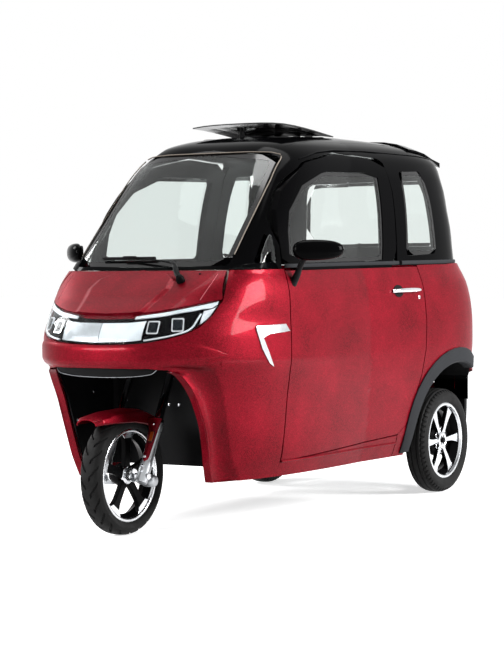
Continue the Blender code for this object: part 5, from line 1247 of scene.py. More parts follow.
@dataclass
class Headlamps:
    """Full-width lamp band: clear cover, black housings, projector units, light guides, panel."""

    low_x: tuple[float, ...] = (0, 0.16, 0.26, 0.34, 0.385, 0.402)
    low_z: tuple[float, ...] = (0.744, 0.748, 0.762, 0.789, 0.834, 0.905)
    high_x: tuple[float, ...] = (0, 0.12, 0.25, 0.402)
    high_z: tuple[float, ...] = (0.852, 0.856, 0.874, 0.909)
    tip_x: float = 0.3975
    lens_half: float = 0.0275

    def low(self, x: Array) -> Array:
        """Lower edge, 1.2 mm inside the opening."""
        return np.interp(np.abs(x), self.low_x, self.low_z) + 0.0012

    def high(self, x: Array) -> Array:
        """Upper edge, 1.5 mm inside the opening."""
        return np.interp(np.abs(x), self.high_x, self.high_z) - 0.0015

    def band(self, first: float, last: float, bottom: Any, top: Any, depth: float, thick: float,
             columns: int = 40, rows: int = 8) -> tuple[Array, Array]:
        """Front and back grids between two edges given as shares of the band's height."""
        x = np.linspace(first, last, columns)[None]
        share = np.linspace(0, 1, rows)[:, None]
        low, high = self.low(x), self.high(x)
        at_low = low + np.interp(np.abs(x), *bottom) * (high - low)
        at_high = low + np.interp(np.abs(x), *top) * (high - low)
        z = at_low + share * (np.maximum(at_high, at_low + 1e-4) - at_low)
        x = np.broadcast_to(x, z.shape)
        full = np.full(z.shape, 1.0)
        return nose_point(x, z, depth * full), nose_point(x, z, (depth + thick) * full)

    def build(self) -> None:
        """Cover, housing, panel, strips and projector units."""
        whole = (-self.tip_x, self.tip_x, ((0, 0.4), (0, 0)), ((0, 0.4), (1, 1)))
        Shape().slab(*self.band(*whole, 0.0008, 0.0025, 120, 10)).build(
            "headlamp_cover", ACRYLIC, "body", "lamp_cover", ("front_lamps",), 60)
        Shape().slab(*self.band(*whole, 0.0165, 0.0015, 120, 6)).build(
            "headlamp_housing", HOUSING_BLACK, "body", "black_plastic", (), 60)
        pale, grey, white = Shape(), Shape(), Shape()
        # One silver panel in two halves with painted light: the half near the camera is pale
        # plastic as if lit, the far half darker satin metal as painted shade
        plate = ((0, 0.2), (0.07, 0.10)), ((0, 0.2), (0.79, 0.76)), 0.0062, 0.003
        white.slab(*self.band(0.001, 0.190, *plate, 30))
        grey.slab(*self.band(-0.180, -0.001, *plate, 24))
        # Light guides: the upper one thickens to its tip, the lower one turns up round the unit
        guide = (((0.11, 0.20, 0.30, 0.36, 0.395), (0.90, 0.86, 0.84, 0.78, 0.62)),
                 ((0.11, 0.395), (0.97, 0.96)), 0.0050, 0.004, 60)
        pale.slab(*self.band(0.136, 0.3945, *guide))
        pale.slab(*self.band(-0.3945, -0.136, *guide))
        for hand in (1, -1):
            turn_x = np.array([0.200, 0.240, 0.275, 0.318, 0.340, 0.350, 0.3570, 0.3615])
            turn_z = np.array([0.7620, 0.7685, 0.7755, 0.7880, 0.7990, 0.8120, 0.8380, 0.8600])
            line = nose_point(hand * turn_x, turn_z, np.full(8, 0.0085))
            pale.tube(curve(line), 0.0036, 0, 10)
            x = np.array([0.3665, 0.3725, 0.3785, 0.3845, 0.3900, 0.3950])
            low = np.array([0.8200, 0.8270, 0.8350, 0.8460, 0.8640, 0.8870])
            high = np.array([0.8705, 0.8725, 0.8745, 0.8770, 0.8810, 0.8900])
            share = np.linspace(0, 1, 6)[:, None]
            z = low + share * (high - low)
            full = np.ones_like(z)
            xs = hand * np.broadcast_to(x, z.shape)
            pale.slab(nose_point(xs, z, 0.0075 * full), nose_point(xs, z, 0.0115 * full))
        pale.build("headlamp_light_guides", WHITE_GUIDE, "body", "lamp_cover", (), 40)
        white.build("headlamp_panel_bright", WHITE_GUIDE, "body", "light_trim", (), 40)
        grey.build("headlamp_panel_grey", SATIN_SILVER, "body", "alloy", (), 40)
        self.projectors()

    def projectors(self) -> None:
        """Two square projector lenses on each side, in angular chrome frames."""
        frames, lenses, mirrors = Shape(), Shape(), Shape()
        for hand in (1, -1):
            for cx, cz in ((0.2235, 0.8135), (0.3055, 0.8210)):
                centre = nose_point(hand * cx, cz, np.array(0.0105))
                out = LOWER.normal(LOWER.end(np.array(hand * cx), np.array(cz)))
                across = spun(np.cross((0.0, 0.0, 1.0), out))
                up = np.cross(out, across)
                outline = rounded([(-0.92, -1.0, 0.22), (0.78, -1.0, 0.22), (1.0, 1.0, 0.22),
                                   (-0.74, 1.0, 0.22)], 4) * self.lens_half
                outline = outline * (hand, 1)
                flat = centre + outline[:, :1] * across + outline[:, 1:] * up
                inner = centre + 0.80 * (outline[:, :1] * across + outline[:, 1:] * up)
                rings = np.stack([flat - 0.004 * out, flat + 0.002 * out, inner + 0.0022 * out,
                                  inner - 0.004 * out])
                frames.add(rings, grid_faces(4, len(outline), True, True))
                share = np.linspace(1, 0.02, 7)[:, None, None]
                dome = inner[None] * share + centre * (1 - share)
                lenses.loft(dome - 0.0015 * out + 0.006 * np.sqrt(1 - share ** 2) * out)
                slant = centre + np.array([[-0.2, -0.9], [0.25, -0.9], [0.45, 0.9], [0.0, 0.9]]
                                          ) @ np.stack([across * hand, up]) * self.lens_half * 0.8
                mirrors.plate(slant - 0.0030 * out, -0.001 * out)
        frames.build("projector_frames", CHROME, "body", "chrome", (), 30)
        lenses.build("projector_lenses", DARK_LENS, "body", "clear_glass", (), 40)
        mirrors.build("projector_mirrors", CHROME, "body", "chrome")


@dataclass
class FrontEnd:
    """Lip band, leg flanges, valance line, fixings and washer jets round the front wheel."""

    edge_z: tuple[float, ...] = (0.2005, 0.331, 0.434, 0.509, 0.561, 0.6237, 0.648, 0.6545)
    edge_x: tuple[float, ...] = (0.318, 0.3345, 0.3405, 0.3365, 0.331, 0.3137, 0.278, 0.2129)

    def lip(self) -> None:
        """Raised band under the lamps: a cushion section, its tips drawn to points."""
        x = np.linspace(-0.4255, 0.4255, 121)
        wide = np.abs(x)
        low = np.interp(wide, (0, 0.20, 0.37, 0.41, 0.4255),
                        (0.6580, 0.6600, 0.6740, 0.6880, 0.6975))
        high = np.interp(wide, (0, 0.16, 0.26, 0.33, 0.37, 0.41, 0.4255),
                         (0.7415, 0.7450, 0.7500, 0.7520, 0.7440, 0.7180, 0.7000))
        share = np.linspace(0, 1, 13)[:, None]
        z = low + share * (high - low)
        crown = 0.0060 * (1 - np.abs(2 * share - 1) ** 5) * np.clip((0.44 - wide) / 0.10, 0.15, 1)
        xs = np.broadcast_to(x, z.shape)
        Shape().slab(nose_point(xs, z, -0.0012 - crown), nose_point(xs, z, 0.0010 + 0 * z)).build(
            "front_lip_band", RED_PAINT, "body", "red_paint", (), 50)

    def flanges(self) -> None:
        """Bright painted return down each leg's edge, 34 mm wide."""
        shape = Shape()
        z = np.linspace(0.2005, 0.640, 48)
        x = smooth(z, self.edge_z, self.edge_x)
        outer = LOWER.end(x, z)
        for hand in (1, -1):
            share = np.linspace(0, 1, 5)[:, None, None]
            move = np.array([-0.034, 0.002, 0.0]) * share
            face = (outer[None] + move + (0.0005, -0.0025, 0)) * (hand, 1, 1)
            shape.slab(face, face + (0, 0.004, 0))
        shape.build("leg_flanges", RED_PAINT, "body", "red_paint", (), 40)

    def fixings(self) -> None:
        """Valance with its bright edge line, pan-head screws and washer jets."""
        x = np.array([-0.235, -0.215, -0.10, 0.0, 0.10, 0.215, 0.235])
        z = np.array([0.648, 0.632, 0.6205, 0.6185, 0.6205, 0.632, 0.648])
        y = LOWER.end(x, np.full(7, 0.66))[:, 1] + 0.024
        low = np.stack([x, y, z], 1)
        high = np.stack([x, y - 0.004, np.full(7, 0.664)], 1)
        grid = np.stack([low, (low + high) / 2, high])
        Shape().slab(grid, grid + (0, 0.004, 0)).build(
            "lip_valance", BLACK_PLASTIC, "body", "black_plastic")
        Shape().tube(curve(low - (0, 0.002, 0)), 0.0012, 0, 8).build(
            "valance_line", SATIN_SILVER, "body", "chrome")
        screws, jets = Shape(), Shape()
        head = [(0, 0), (0, 0.0075), (0.002, 0.007), (0.0036, 0.004), (0.004, 0)]
        for hand in (1, -1):
            screws.lathe(head, (hand * 0.024, -0.5690, 0.481), (0, -1, 0), 0, 20, False)
            for y0, z0 in ((-0.708, 0.536), (-0.8187, 0.431), (-0.690, 0.330)):
                screws.lathe(head, (hand * 0.2935, y0, z0), (-hand, 0, 0), 0, 20, False)
        for x0, z0, size in ((-0.0863, 1.0008, 0.008), (0.2744, 1.0066, 0.005)):
            on = LOWER.end(np.array(x0), np.array(z0))
            jets.lathe([(-0.001, 0), (-0.001, size), (0.003, size * 0.8), (0.0045, size * 0.4),
                        (0.0045, 0)], on, LOWER.normal(on), 0, 20, False)
        screws.build("liner_screws", CHROME, "body", "chrome")
        jets.build("washer_jets", BLACK_PLASTIC, "body", "black_plastic")

    def build(self) -> None:
        """Build the front end's dress."""
        self.lip()
        self.flanges()
        self.fixings()


# Outside fittings

@dataclass
class Trims:
    """Belt mouldings, vent trims, windscreen trim, painted highlights on the bonnet's joints, sill
    lips and gutters.
    """

    def strip(self, shape: Shape, hand: int, y: Array, low: Any, high: Any, proud: float,
              skin: Skin, thick: float = 0.003) -> None:
        """Crowned strip along a flank between two heights."""
        share = np.linspace(0, 1, 6)[:, None]
        low, high = np.broadcast_to(low, y.shape), np.broadcast_to(high, y.shape)
        z = low + share * (high - low)
        crown = proud * (0.4 + 0.6 * (1 - np.abs(2 * share - 1) ** 3)) + 0 * z
        ys = np.broadcast_to(y, z.shape)
        shape.slab(flank_point(ys, z, crown, hand, skin),
                   flank_point(ys, z, crown - thick, hand, skin))

    def belts(self) -> None:
        """Dark grey moulding along the foot of the windows, on the door and behind it."""
        # Word in the name, both ends, points, both heights, and how far it stands proud
        rows = (("door", -0.462, 0.446, 60, 1.0245, 1.0395, 0.004),
                ("rear", 0.468, 1.00, 40, 1.0235, 1.0400, 0.0045))
        for side in Side:
            for word, first, last, count, low, high, proud in rows:
                shape = Shape()
                self.strip(shape, side.value, np.linspace(first, last, count), low, high, proud,
                           UPPER)
                shape.build(f"belt_moulding_{word}_{side.tag}", GREY_PLASTIC,
                            "door_" + side.tag if word == "door" else "body", "grey_plastic",
                            (), 40)

    def vents(self) -> None:
        """Hooked bright trim ahead of each door: a wedge arm and a leg that narrows downwards."""
        arm = np.array([(-0.684, 0.7900), (-0.680, 0.8040), (-0.512, 0.8060), (-0.4885, 0.7770),
                        (-0.520, 0.7740), (-0.575, 0.7715), (-0.622, 0.7680), (-0.648, 0.7560)])
        leg = np.array([(-0.684, 0.7900), (-0.648, 0.7560), (-0.618, 0.700), (-0.586, 0.6440),
                        (-0.614, 0.6590), (-0.655, 0.7150)])
        shape = Shape()
        for hand in (1, -1):
            for outline in (arm, leg):
                middle = outline.mean(0)
                # Foot in the skin, upright wall, and a face drawn in by a tenth
                rings = [flank_point(*(middle + (outline - middle) * size).T,
                                     np.full(len(outline), proud), hand, LOWER)
                         for size, proud in ((1.0, -0.001), (1.0, 0.0052), (0.90, 0.0068))]
                shape.loft(np.stack(rings))
        shape.build("fender_vent_trims", SATIN_CHROME, "body", "chrome", (), 25)

    def lines(self) -> None:
        """Pale trim over the windscreen and down its pillars, and pale pink lines painted as the
        highlight along the bonnet's joints.
        """
        x = np.linspace(-0.325, 0.325, 41)
        z = np.interp(np.abs(x), (0, 0.20, 0.29, 0.325), (1.4940, 1.4935, 1.4895, 1.4800))
        top = UPPER.end(x, z)
        top += UPPER.normal(top) * 0.0016
        shape = Shape().tube(top, 0.0042, 0, 8, 0.5)
        zs = np.linspace(1.472, 1.080, 34)
        xs = np.interp(zs, (1.08, 1.294, 1.375, 1.466, 1.472),
                       (0.3650, 0.3560, 0.3520, 0.3375, 0.3330))
        for hand in (1, -1):
            side = UPPER.end(hand * xs, zs)
            side += UPPER.normal(side) * 0.0012
            shape.tube(side, 0.0030, 0, 8, 0.5)
        shape.build("windscreen_trim", BRONZE_TRIM, "body", "black_plastic", (), 60)
        joint_highlights = Shape()
        for hand in (1, -1):
            xs = np.array([0.3483, 0.3478, 0.3457, 0.3391])
            zs = np.array([1.0060, 0.980, 0.9575, 0.9094])
            on = LOWER.end(hand * xs, zs)
            joint_highlights.tube(on + LOWER.normal(on) * 0.0002, 0.0013, 0, 6)
        joint_highlights.build("bonnet_joint_lines", PAINTED_EDGE_HIGHLIGHT, "body", "red_paint", (), 60)

    def sills(self) -> None:
        """Rolled lip along each sill's top edge."""
        shape = Shape()
        for hand in (1, -1):
            y = np.linspace(-0.470, 0.382, 60)
            self.strip(shape, hand, y, 0.2555, 0.2640, 0.0055, LOWER)
        shape.build("sill_lips", RED_PAINT, "body", "red_paint", (), 50)

    def gutters(self) -> None:
        """Rain channel from the screen pillar over the door to the tail."""
        shape = Shape()
        y = np.linspace(-0.195, 1.040, 90)
        for hand in (1, -1):
            z = np.interp(y, (-0.195, -0.05, 0.10, 0.35, 0.80, 1.04),
                          (1.462, 1.494, 1.507, 1.511, 1.502, 1.488))
            on = UPPER.side(y, z, hand)
            shape.tube(on + UPPER.normal(on) * 0.0006, 0.0024, 0, 8)
        shape.build("roof_gutters", BLACK_GLOSS, "body", "gloss_black", (), 60)

    def build(self) -> None:
        """Build every trim."""
        self.belts()
        self.vents()
        self.lines()
        self.sills()
        self.gutters()


@dataclass
class DoorFittings:
    """Chrome pull handle over its dark cup, and the mirror, on each door."""

    handle_y: tuple[float, float] = (0.3245, 0.5415)
    handle_z: float = 0.912
    cup_y: float = 0.372
    cup_radius: float = 0.036
    head_radii: tuple[float, float, float] = (0.1075, 0.0345, 0.0415)
    head_turn: float = 44.0
    head_place: tuple[float, float, float] = (0.592, -0.417, 1.0928)

    def handle(self, side: Side) -> None:
        """Bowed bar between two feet, a key barrel and a shallow dark cup."""
        hand, door = side.value, "door_" + side.tag
        y = np.linspace(self.handle_y[0] + 0.004, self.handle_y[1] - 0.004, 40)
        share = (y - y[0]) / (y[-1] - y[0])
        proud = 0.0015 + 0.0200 * np.sin(np.pi * np.clip(share, 0, 1)) ** 0.42
        line = flank_point(y, np.full_like(y, self.handle_z), proud, hand, LOWER)
        radii = 0.0105 * (0.78 + 0.22 * np.sin(np.pi * share))
        Shape().tube(line, radii, 0, 20, 0.95).build(
            "door_pull_" + side.tag, CHROME, door, "chrome", ("door_handle_" + side.tag,), 40)
        ring = np.linspace(0, 2 * np.pi, 41)[:-1]
        # Cup's rings from the rim inwards: share of its radius, and height over the skin
        edge = [flank_point(self.cup_y + self.cup_radius * s * np.cos(ring),
                            self.handle_z + 0.72 * self.cup_radius * s * np.sin(ring),
                            np.full(40, p), hand, LOWER)
                for s, p in ((1.0, -0.001), (1.0, 0.0022), (0.86, 0.0022), (0.55, 0.0002),
                             (0.15, 0.0002))]
        Shape().loft(np.stack(edge)).build(
            "door_pull_cup_" + side.tag, BLACK_PLASTIC, door, "black_plastic", (), 30)
        spot = flank_point(0.530, self.handle_z - 0.030, 0.0, hand, LOWER)
        Shape().lathe([(-0.001, 0), (-0.001, 0.0085), (0.002, 0.0085), (0.0028, 0.0070),
                       (0.0020, 0.0060), (0.0020, 0.0)], spot, LOWER.normal(spot), 0, 24, False
                      ).build("door_key_barrel_" + side.tag, CHROME, door, "chrome")

    def mirror(self, side: Side) -> None:
        """Shell of superellipse sections, bezel, glass, folding neck and foot."""
        hand, door = side.value, "door_" + side.tag
        rx, ry, rz = self.head_radii
        t = np.linspace(-1, 1, 29)[:, None]
        a = np.linspace(0, 2 * np.pi, 48, endpoint=False)[None]
        size = np.clip(1 - np.abs(t) ** 2.6, 0, 1) ** 0.5
        power = 0.80
        c, s = np.cos(a), np.sin(a)
        y = np.where(s < 0, 1.0, 0.45) * ry * np.sign(s) * np.abs(s) ** power
        z = rz * np.sign(c) * np.abs(c) ** power * (1 - 0.10 * t * hand)
        head = 0.97 * np.stack(np.broadcast_arrays(rx * t + 0 * a, y * size, z * size ** 0.8), -1)
        turn = math.radians(self.head_turn) * hand
        spin = np.array([[math.cos(turn), math.sin(turn), 0], [-math.sin(turn), math.cos(turn), 0],
                         [0, 0, 1]])
        place = np.array(self.head_place) * (hand, 1, 1)
        shell = Shape().loft(head)
        shell.moved(lambda p: p @ spin + place)
        shell.build("mirror_shell_" + side.tag, BLACK_GLOSS, door, "gloss_black",
                    ("mirror_" + side.tag,), 40)
        ring = rounded([(-0.90 * rx, -0.74 * rz, 0.02), (0.90 * rx, -0.74 * rz, 0.02),
                        (0.90 * rx, 0.74 * rz, 0.026), (-0.90 * rx, 0.74 * rz, 0.026)], 8)
        flat = np.stack([ring[:, 0], np.full(len(ring), 0.40 * ry), ring[:, 1]], -1)
        bezel = Shape().loft(np.stack([flat * (1, 0.6, 1), flat * (1, 1.18, 1),
                                       flat * (0.95, 1.22, 0.93), flat * (0.93, 0.95, 0.91)]))
        glass = Shape().plate(flat * (0.93, 1, 0.91) + (0, 0.0012, 0), (0, 0.0015, 0))
        for shape, name, finish, slot in ((bezel, "mirror_bezel_", BLACK_PLASTIC, "black_plastic"),
                                          (glass, "mirror_glass_", MIRROR_GLASS, "chrome")):
            shape.moved(lambda p: p @ spin + place)
            shape.build(name + side.tag, finish, door, slot, (), 30)
        foot = np.array([(0.4775, -0.430, 0.962), (0.492, -0.431, 0.978), (0.506, -0.434, 1.000),
                         (0.520, -0.437, 1.028), (0.536, -0.440, 1.052), (0.5555, -0.4415, 1.0735)])
        neck = curve(foot * (hand, 1, 1))
        Shape().tube(neck, np.interp(np.linspace(0, 1, len(neck)), (0, 0.12, 0.5, 0.85, 1),
                                     (0.0200, 0.0150, 0.0110, 0.0115, 0.0150)), 0, 20, 1.25).build(
            "mirror_neck_" + side.tag, BLACK_PLASTIC, door, "black_plastic", (), 40)

    def build(self) -> None:
        """Both doors' fittings."""
        for side in Side:
            self.handle(side)
            self.mirror(side)


@dataclass
class Wiper:
    """Single arm: capped pivot, tapered arm, spring link and blade with its rubber."""

    def build(self) -> None:
        """Arm and blade over the windscreen's foot."""
        x = np.array([0.215, 0.203, 0.175, 0.125, 0.020, -0.090])
        z = np.array([0.979, 0.985, 1.004, 1.036, 1.052, 1.0640])
        low = LOWER.end(x, np.minimum(z, 1.018))
        high = UPPER.end(x, np.maximum(z, 1.022))
        arm = np.where((z < 1.02)[:, None], low + LOWER.normal(low) * 0.021,
                       high + UPPER.normal(high) * 0.0165)
        line = curve(arm)
        width = np.interp(np.linspace(0, 1, len(line)), (0, 0.1, 0.35, 0.4, 1),
                          (0.0135, 0.0120, 0.0085, 0.0062, 0.0042))
        shape = Shape().tube(line, width, 0, 16, 0.6)
        cap = LOWER.end(np.array(0.215), np.array(0.979))
        shape.lathe([(-0.001, 0), (-0.001, 0.0175), (0.016, 0.0165), (0.026, 0.012), (0.029, 0)],
                    cap, LOWER.normal(cap), 0, 28, False)
        shape.build("wiper_arm", SATIN_BLACK, "body", "black_plastic", ("wiper",), 40)
        x = np.linspace(-0.2345, 0.020, 40)
        z = np.full_like(x, 1.0640)
        glass = UPPER.end(x, z)
        out = UPPER.normal(glass)
        blade = Shape().tube(glass + out * 0.0095, 0.0052, 0, 10, 1.0)
        blade.tube(glass + out * 0.0035, 0.0024, 0, 8, 1.6)
        middle = slice(16, 26)
        blade.tube(glass[middle] + out[middle] * 0.0150, 0.0062, 0, 10, 0.8)
        blade.build("wiper_blade", BLACK_PLASTIC, "body", "black_plastic", (), 40)


@dataclass
class Sunroof:
    """What the tilting pane closes on and is held by."""

    def build(self) -> None:
        """Seal round the opening, and the latch under the glass."""
        ring = rounded([(-0.203, -0.036, 0.03), (0.203, -0.036, 0.03), (0.203, 0.324, 0.03),
                        (-0.203, 0.324, 0.03)], 8)
        z = UPPER.roof_z(ring[:, 0], ring[:, 1])
        path = np.stack([ring[:, 0], ring[:, 1], z - 0.0022], -1)
        Shape().tube(path, 0.0045, 0, 8, 1.0, True).build(
            "sunroof_seal", SEAL_RUBBER, "body", "tyre_rubber", (), 60)
        # Latch stalk under the pane's front edge, with its two jaws
        latch = Shape().tube(np.array([(-0.020, 0.002, 1.6135), (-0.020, 0.002, 1.588),
                                       (-0.020, 0.006, 1.576)]), [0.010, 0.012, 0.013], 0, 16, 0.7)
        for x in (-0.038, -0.002):
            latch.tube(np.array([(x, 0.002, 1.6135), (x, 0.002, 1.600)]), 0.006, 0, 12)
        latch.build("sunroof_latch", BLACK_PLASTIC, "sunroof", "black_plastic", (), 40)


@dataclass
class TailEnd:
    """Bumper reflectors, blank plate with its holder, boot catch and wheelhouse liners."""

    wheel_y: float = 0.857
    wheel_z: float = 0.232
    liner_radius: float = 0.370
    liner_inner_x: float = 0.315

    def build(self) -> None:
        """Fittings on the tail, each seated on the skin."""
        lenses, frames, plates, chrome, liners = (Shape() for _ in range(5))
        for hand in (1, -1):
            xs, zs = np.meshgrid(hand * np.linspace(0.360, 0.420, 8), np.linspace(0.335, 0.360, 5))
            on = LOWER.end(xs, zs, True)
            out = np.array([0.0, 1.0, 0.0])
            lenses.slab(on + out * 0.0015, on - out * 0.010)
        xs, zs = np.meshgrid(np.linspace(-0.17, 0.17, 12), np.linspace(0.690, 0.800, 6))
        on = LOWER.end(xs, zs, True)
        flat = on.copy()
        flat[..., 1] = on[..., 1].max() - 0.0065
        frames.slab(flat + (0, 0.0040, 0), flat - (0, 0.002, 0))
        small = (flat - flat.mean((0, 1))) * (0.94, 1, 0.88) + flat.mean((0, 1))
        plates.slab(small + (0, 0.0052, 0), small + (0, 0.0038, 0))
        xs, zs = np.meshgrid(np.linspace(-0.035, 0.035, 10), np.linspace(0.838, 0.856, 5))
        on = LOWER.end(xs, zs, True)
        crown = 0.0048 * (1 - (2 * np.linspace(0, 1, 5)[:, None, None] - 1) ** 2)
        chrome.slab(on + crown * (0, 1, 0), on - (0, 0.001, 0))
        # Wheelhouse liners, 8 mm inside the arch, with a flat end behind the wheel
        angle = np.radians(np.linspace(172, 48, 32))
        y = np.concatenate([self.wheel_y + self.liner_radius * np.cos(angle),
                            np.full(6, 1.1045)])
        z = np.concatenate([self.wheel_z + self.liner_radius * np.sin(angle),
                            np.linspace(0.49, 0.40, 6)])
        for hand in (1, -1):
            out = np.abs(LOWER.side(y, np.maximum(z, 0.45), hand)[:, 0]) - 0.020
            wide = np.maximum(out, 0.33) - self.liner_inner_x
            xs = self.liner_inner_x + np.linspace(0, 1, 9)[:, None] * wide
            grid = np.stack(np.broadcast_arrays(hand * xs, y, z), -1)
            liners.slab(grid, grid + (0, 0, 0.003))
        liners.build("wheelhouse_liners", BLACK_PLASTIC, "body", "black_plastic", (), 40)
        lenses.build("bumper_reflectors", RED_LENS, "body", "red_lens", (), 40)
        frames.build("plate_holder", BLACK_PLASTIC, "boot", "black_plastic", (), 30, 1.0)
        plates.build("blank_plate", WHITE_GUIDE, "boot", "light_trim", (), 30)
        chrome.build("boot_catch", CHROME, "boot", "chrome", (), 40)


# Cabin

@dataclass
class Cabin:
    """Seats with crowned covers, and the display on the dashboard."""

    voxel: float = 0.0075
    most_move: float = 0.008

    def pad(self, name: str, low: Sequence[float], high: Sequence[float],
            node: tuple[str, ...], lean: float = 0.0, panels: int = 3) -> None:
        """Stuffed cover: a superellipsoid box with seams, settled by a short cloth run.

        Each point of a unit sphere's grid is raised to a power so that it fills the box, the
        seams sink by a cosine, and the cloth's pressure then pulls its wrinkles from them.
        """
        low, high = np.asarray(low, float), np.asarray(high, float)
        middle, half = (low + high) / 2, (high - low) / 2
        u = np.linspace(-np.pi / 2, np.pi / 2, 45)[:, None]
        v = np.linspace(-np.pi, np.pi, 97)[None, :-1]
        x = signed_power(np.cos(u), 0.35) * signed_power(np.cos(v), 0.35)
        y = signed_power(np.cos(u), 0.35) * signed_power(np.sin(v), 0.35)
        z = signed_power(np.sin(u), 0.45) + 0 * v
        flat = np.stack([x, y, z], -1)
        flat[..., 2] *= 1 - 0.10 * np.abs(flat[..., 0]) ** 2 - 0.08 * np.abs(flat[..., 1]) ** 2
        seam = np.exp(-(np.sin(flat[..., 0] * np.pi * panels / 2) / 0.10) ** 2)
        points = middle + flat * half * 0.98 * (1 - 0.16 * seam[..., None])
        if lean:
            points[..., 1] += lean * (points[..., 2] - low[2])
        item = Shape().loft(points).build(name, SEAT_VINYL, "body", "seat_leather", node, 60)
        self.settle(item)

    def settle(self, item: bpy.types.Object) -> None:
        """Remesh the cover finely and run cloth with a little pressure, then keep the shape."""
        remesh = item.modifiers.new("fine", "REMESH")
        remesh.mode, remesh.voxel_size, remesh.use_smooth_shade = "VOXEL", self.voxel, True
        self.keep(item)
        scene = bpy.context.scene
        cloth = item.modifiers.new("cover", "CLOTH")
        settings = cloth.settings
        settings.quality, settings.mass = 5, 0.4
        settings.tension_stiffness = settings.compression_stiffness = 12
        settings.bending_stiffness = 0.4
        settings.use_pressure, settings.uniform_pressure_force = True, 2.0
        settings.effector_weights.gravity = 0
        cloth.collision_settings.use_self_collision = False
        height = np.zeros(len(item.data.vertices) * 3, np.float32)
        item.data.vertices.foreach_get("co", height)
        z = height.reshape(-1, 3)[:, 2]
        foot = item.vertex_groups.new(name="foot")
        foot.add(np.flatnonzero(z < z.min() + 0.35 * (z.max() - z.min())).tolist(), 1.0, "REPLACE")
        settings.vertex_group_mass = "foot"
        before = height.reshape(-1, 3).copy()
        for frame_number in range(1, 13):
            scene.frame_set(frame_number)
        self.keep(item)
        after = np.zeros(len(item.data.vertices) * 3, np.float32)
        item.data.vertices.foreach_get("co", after)
        move = after.reshape(-1, 3) - before
        size = np.linalg.norm(move, axis=1, keepdims=True)
        # No point ends further than most_move from where the cover started
        capped = before + move * np.minimum(1, self.most_move / np.maximum(size, 1e-9))
        item.data.vertices.foreach_set("co", capped.ravel())
        item.data.shade_smooth()
        scene.frame_set(1)

    def keep(self, item: bpy.types.Object) -> None:
        """Make the evaluated mesh the object's own and drop its modifiers."""
        graph = bpy.context.evaluated_depsgraph_get()
        made = bpy.data.meshes.new_from_object(item.evaluated_get(graph), depsgraph=graph)
        item.modifiers.clear()
        item.data = made

    def seats(self) -> None:
        """Driver's and rear seat, each a cushion and a back."""
        self.pad("driver_cushion", (-0.196, -0.008, 0.503), (0.196, 0.392, 0.598),
                 ("driver_seat",))
        self.pad("driver_back", (-0.190, 0.350, 0.575), (0.190, 0.425, 0.955), (), 0.07)
        self.pad("rear_cushion", (-0.325, 0.628, 0.452), (0.325, 0.965, 0.567),
                 ("rear_seat",), 0.0, 5)
        self.pad("rear_back", (-0.322, 0.908, 0.545), (0.322, 0.980, 0.945), (), 0.02, 5)
        shells = Shape()
        shells.plate(np.array([(-0.18, 0.424, 0.545), (0.18, 0.424, 0.545), (0.17, 0.450, 0.930),
                               (-0.17, 0.450, 0.930)]), (0, 0.006, 0.001))
        shells.build("driver_back_shell", BLACK_PLASTIC, "body", "black_plastic", (), 30, 3.0)

    def pod_ring(self, scale: float, y: float) -> Array:
        """Rounded outline of the display pod, scaled about its middle, at a Y."""
        outline = rounded([(-0.105, 0.972, 0.012), (0.105, 0.972, 0.012), (0.095, 1.016, 0.018),
                           (-0.095, 1.016, 0.018)], 5)
        centre = np.array([0.0, 0.995])
        flat = centre + (outline - centre) * scale
        return np.stack([flat[:, 0], np.full(len(flat), y), flat[:, 1]], -1)

    def dash(self) -> None:
        """Display pod on the dashboard, with its glass."""
        rings = ((0.9, -0.678), (1, -0.653), (1, -0.613), (0.88, -0.610), (0.86, -0.618))
        Shape().loft(np.stack([self.pod_ring(*ring) for ring in rings])).build(
            "display_pod", BLACK_PLASTIC, "body", "black_plastic", (), 30)
        Shape().loft(np.stack([self.pod_ring(0.85, -0.6175), self.pod_ring(0.85, -0.6155)])).build(
            "display_glass", BLACK_GLOSS, "body", "gloss_black")

    def build(self) -> None:
        """Seats and dashboard."""
        self.seats()
        self.dash()


# Studio

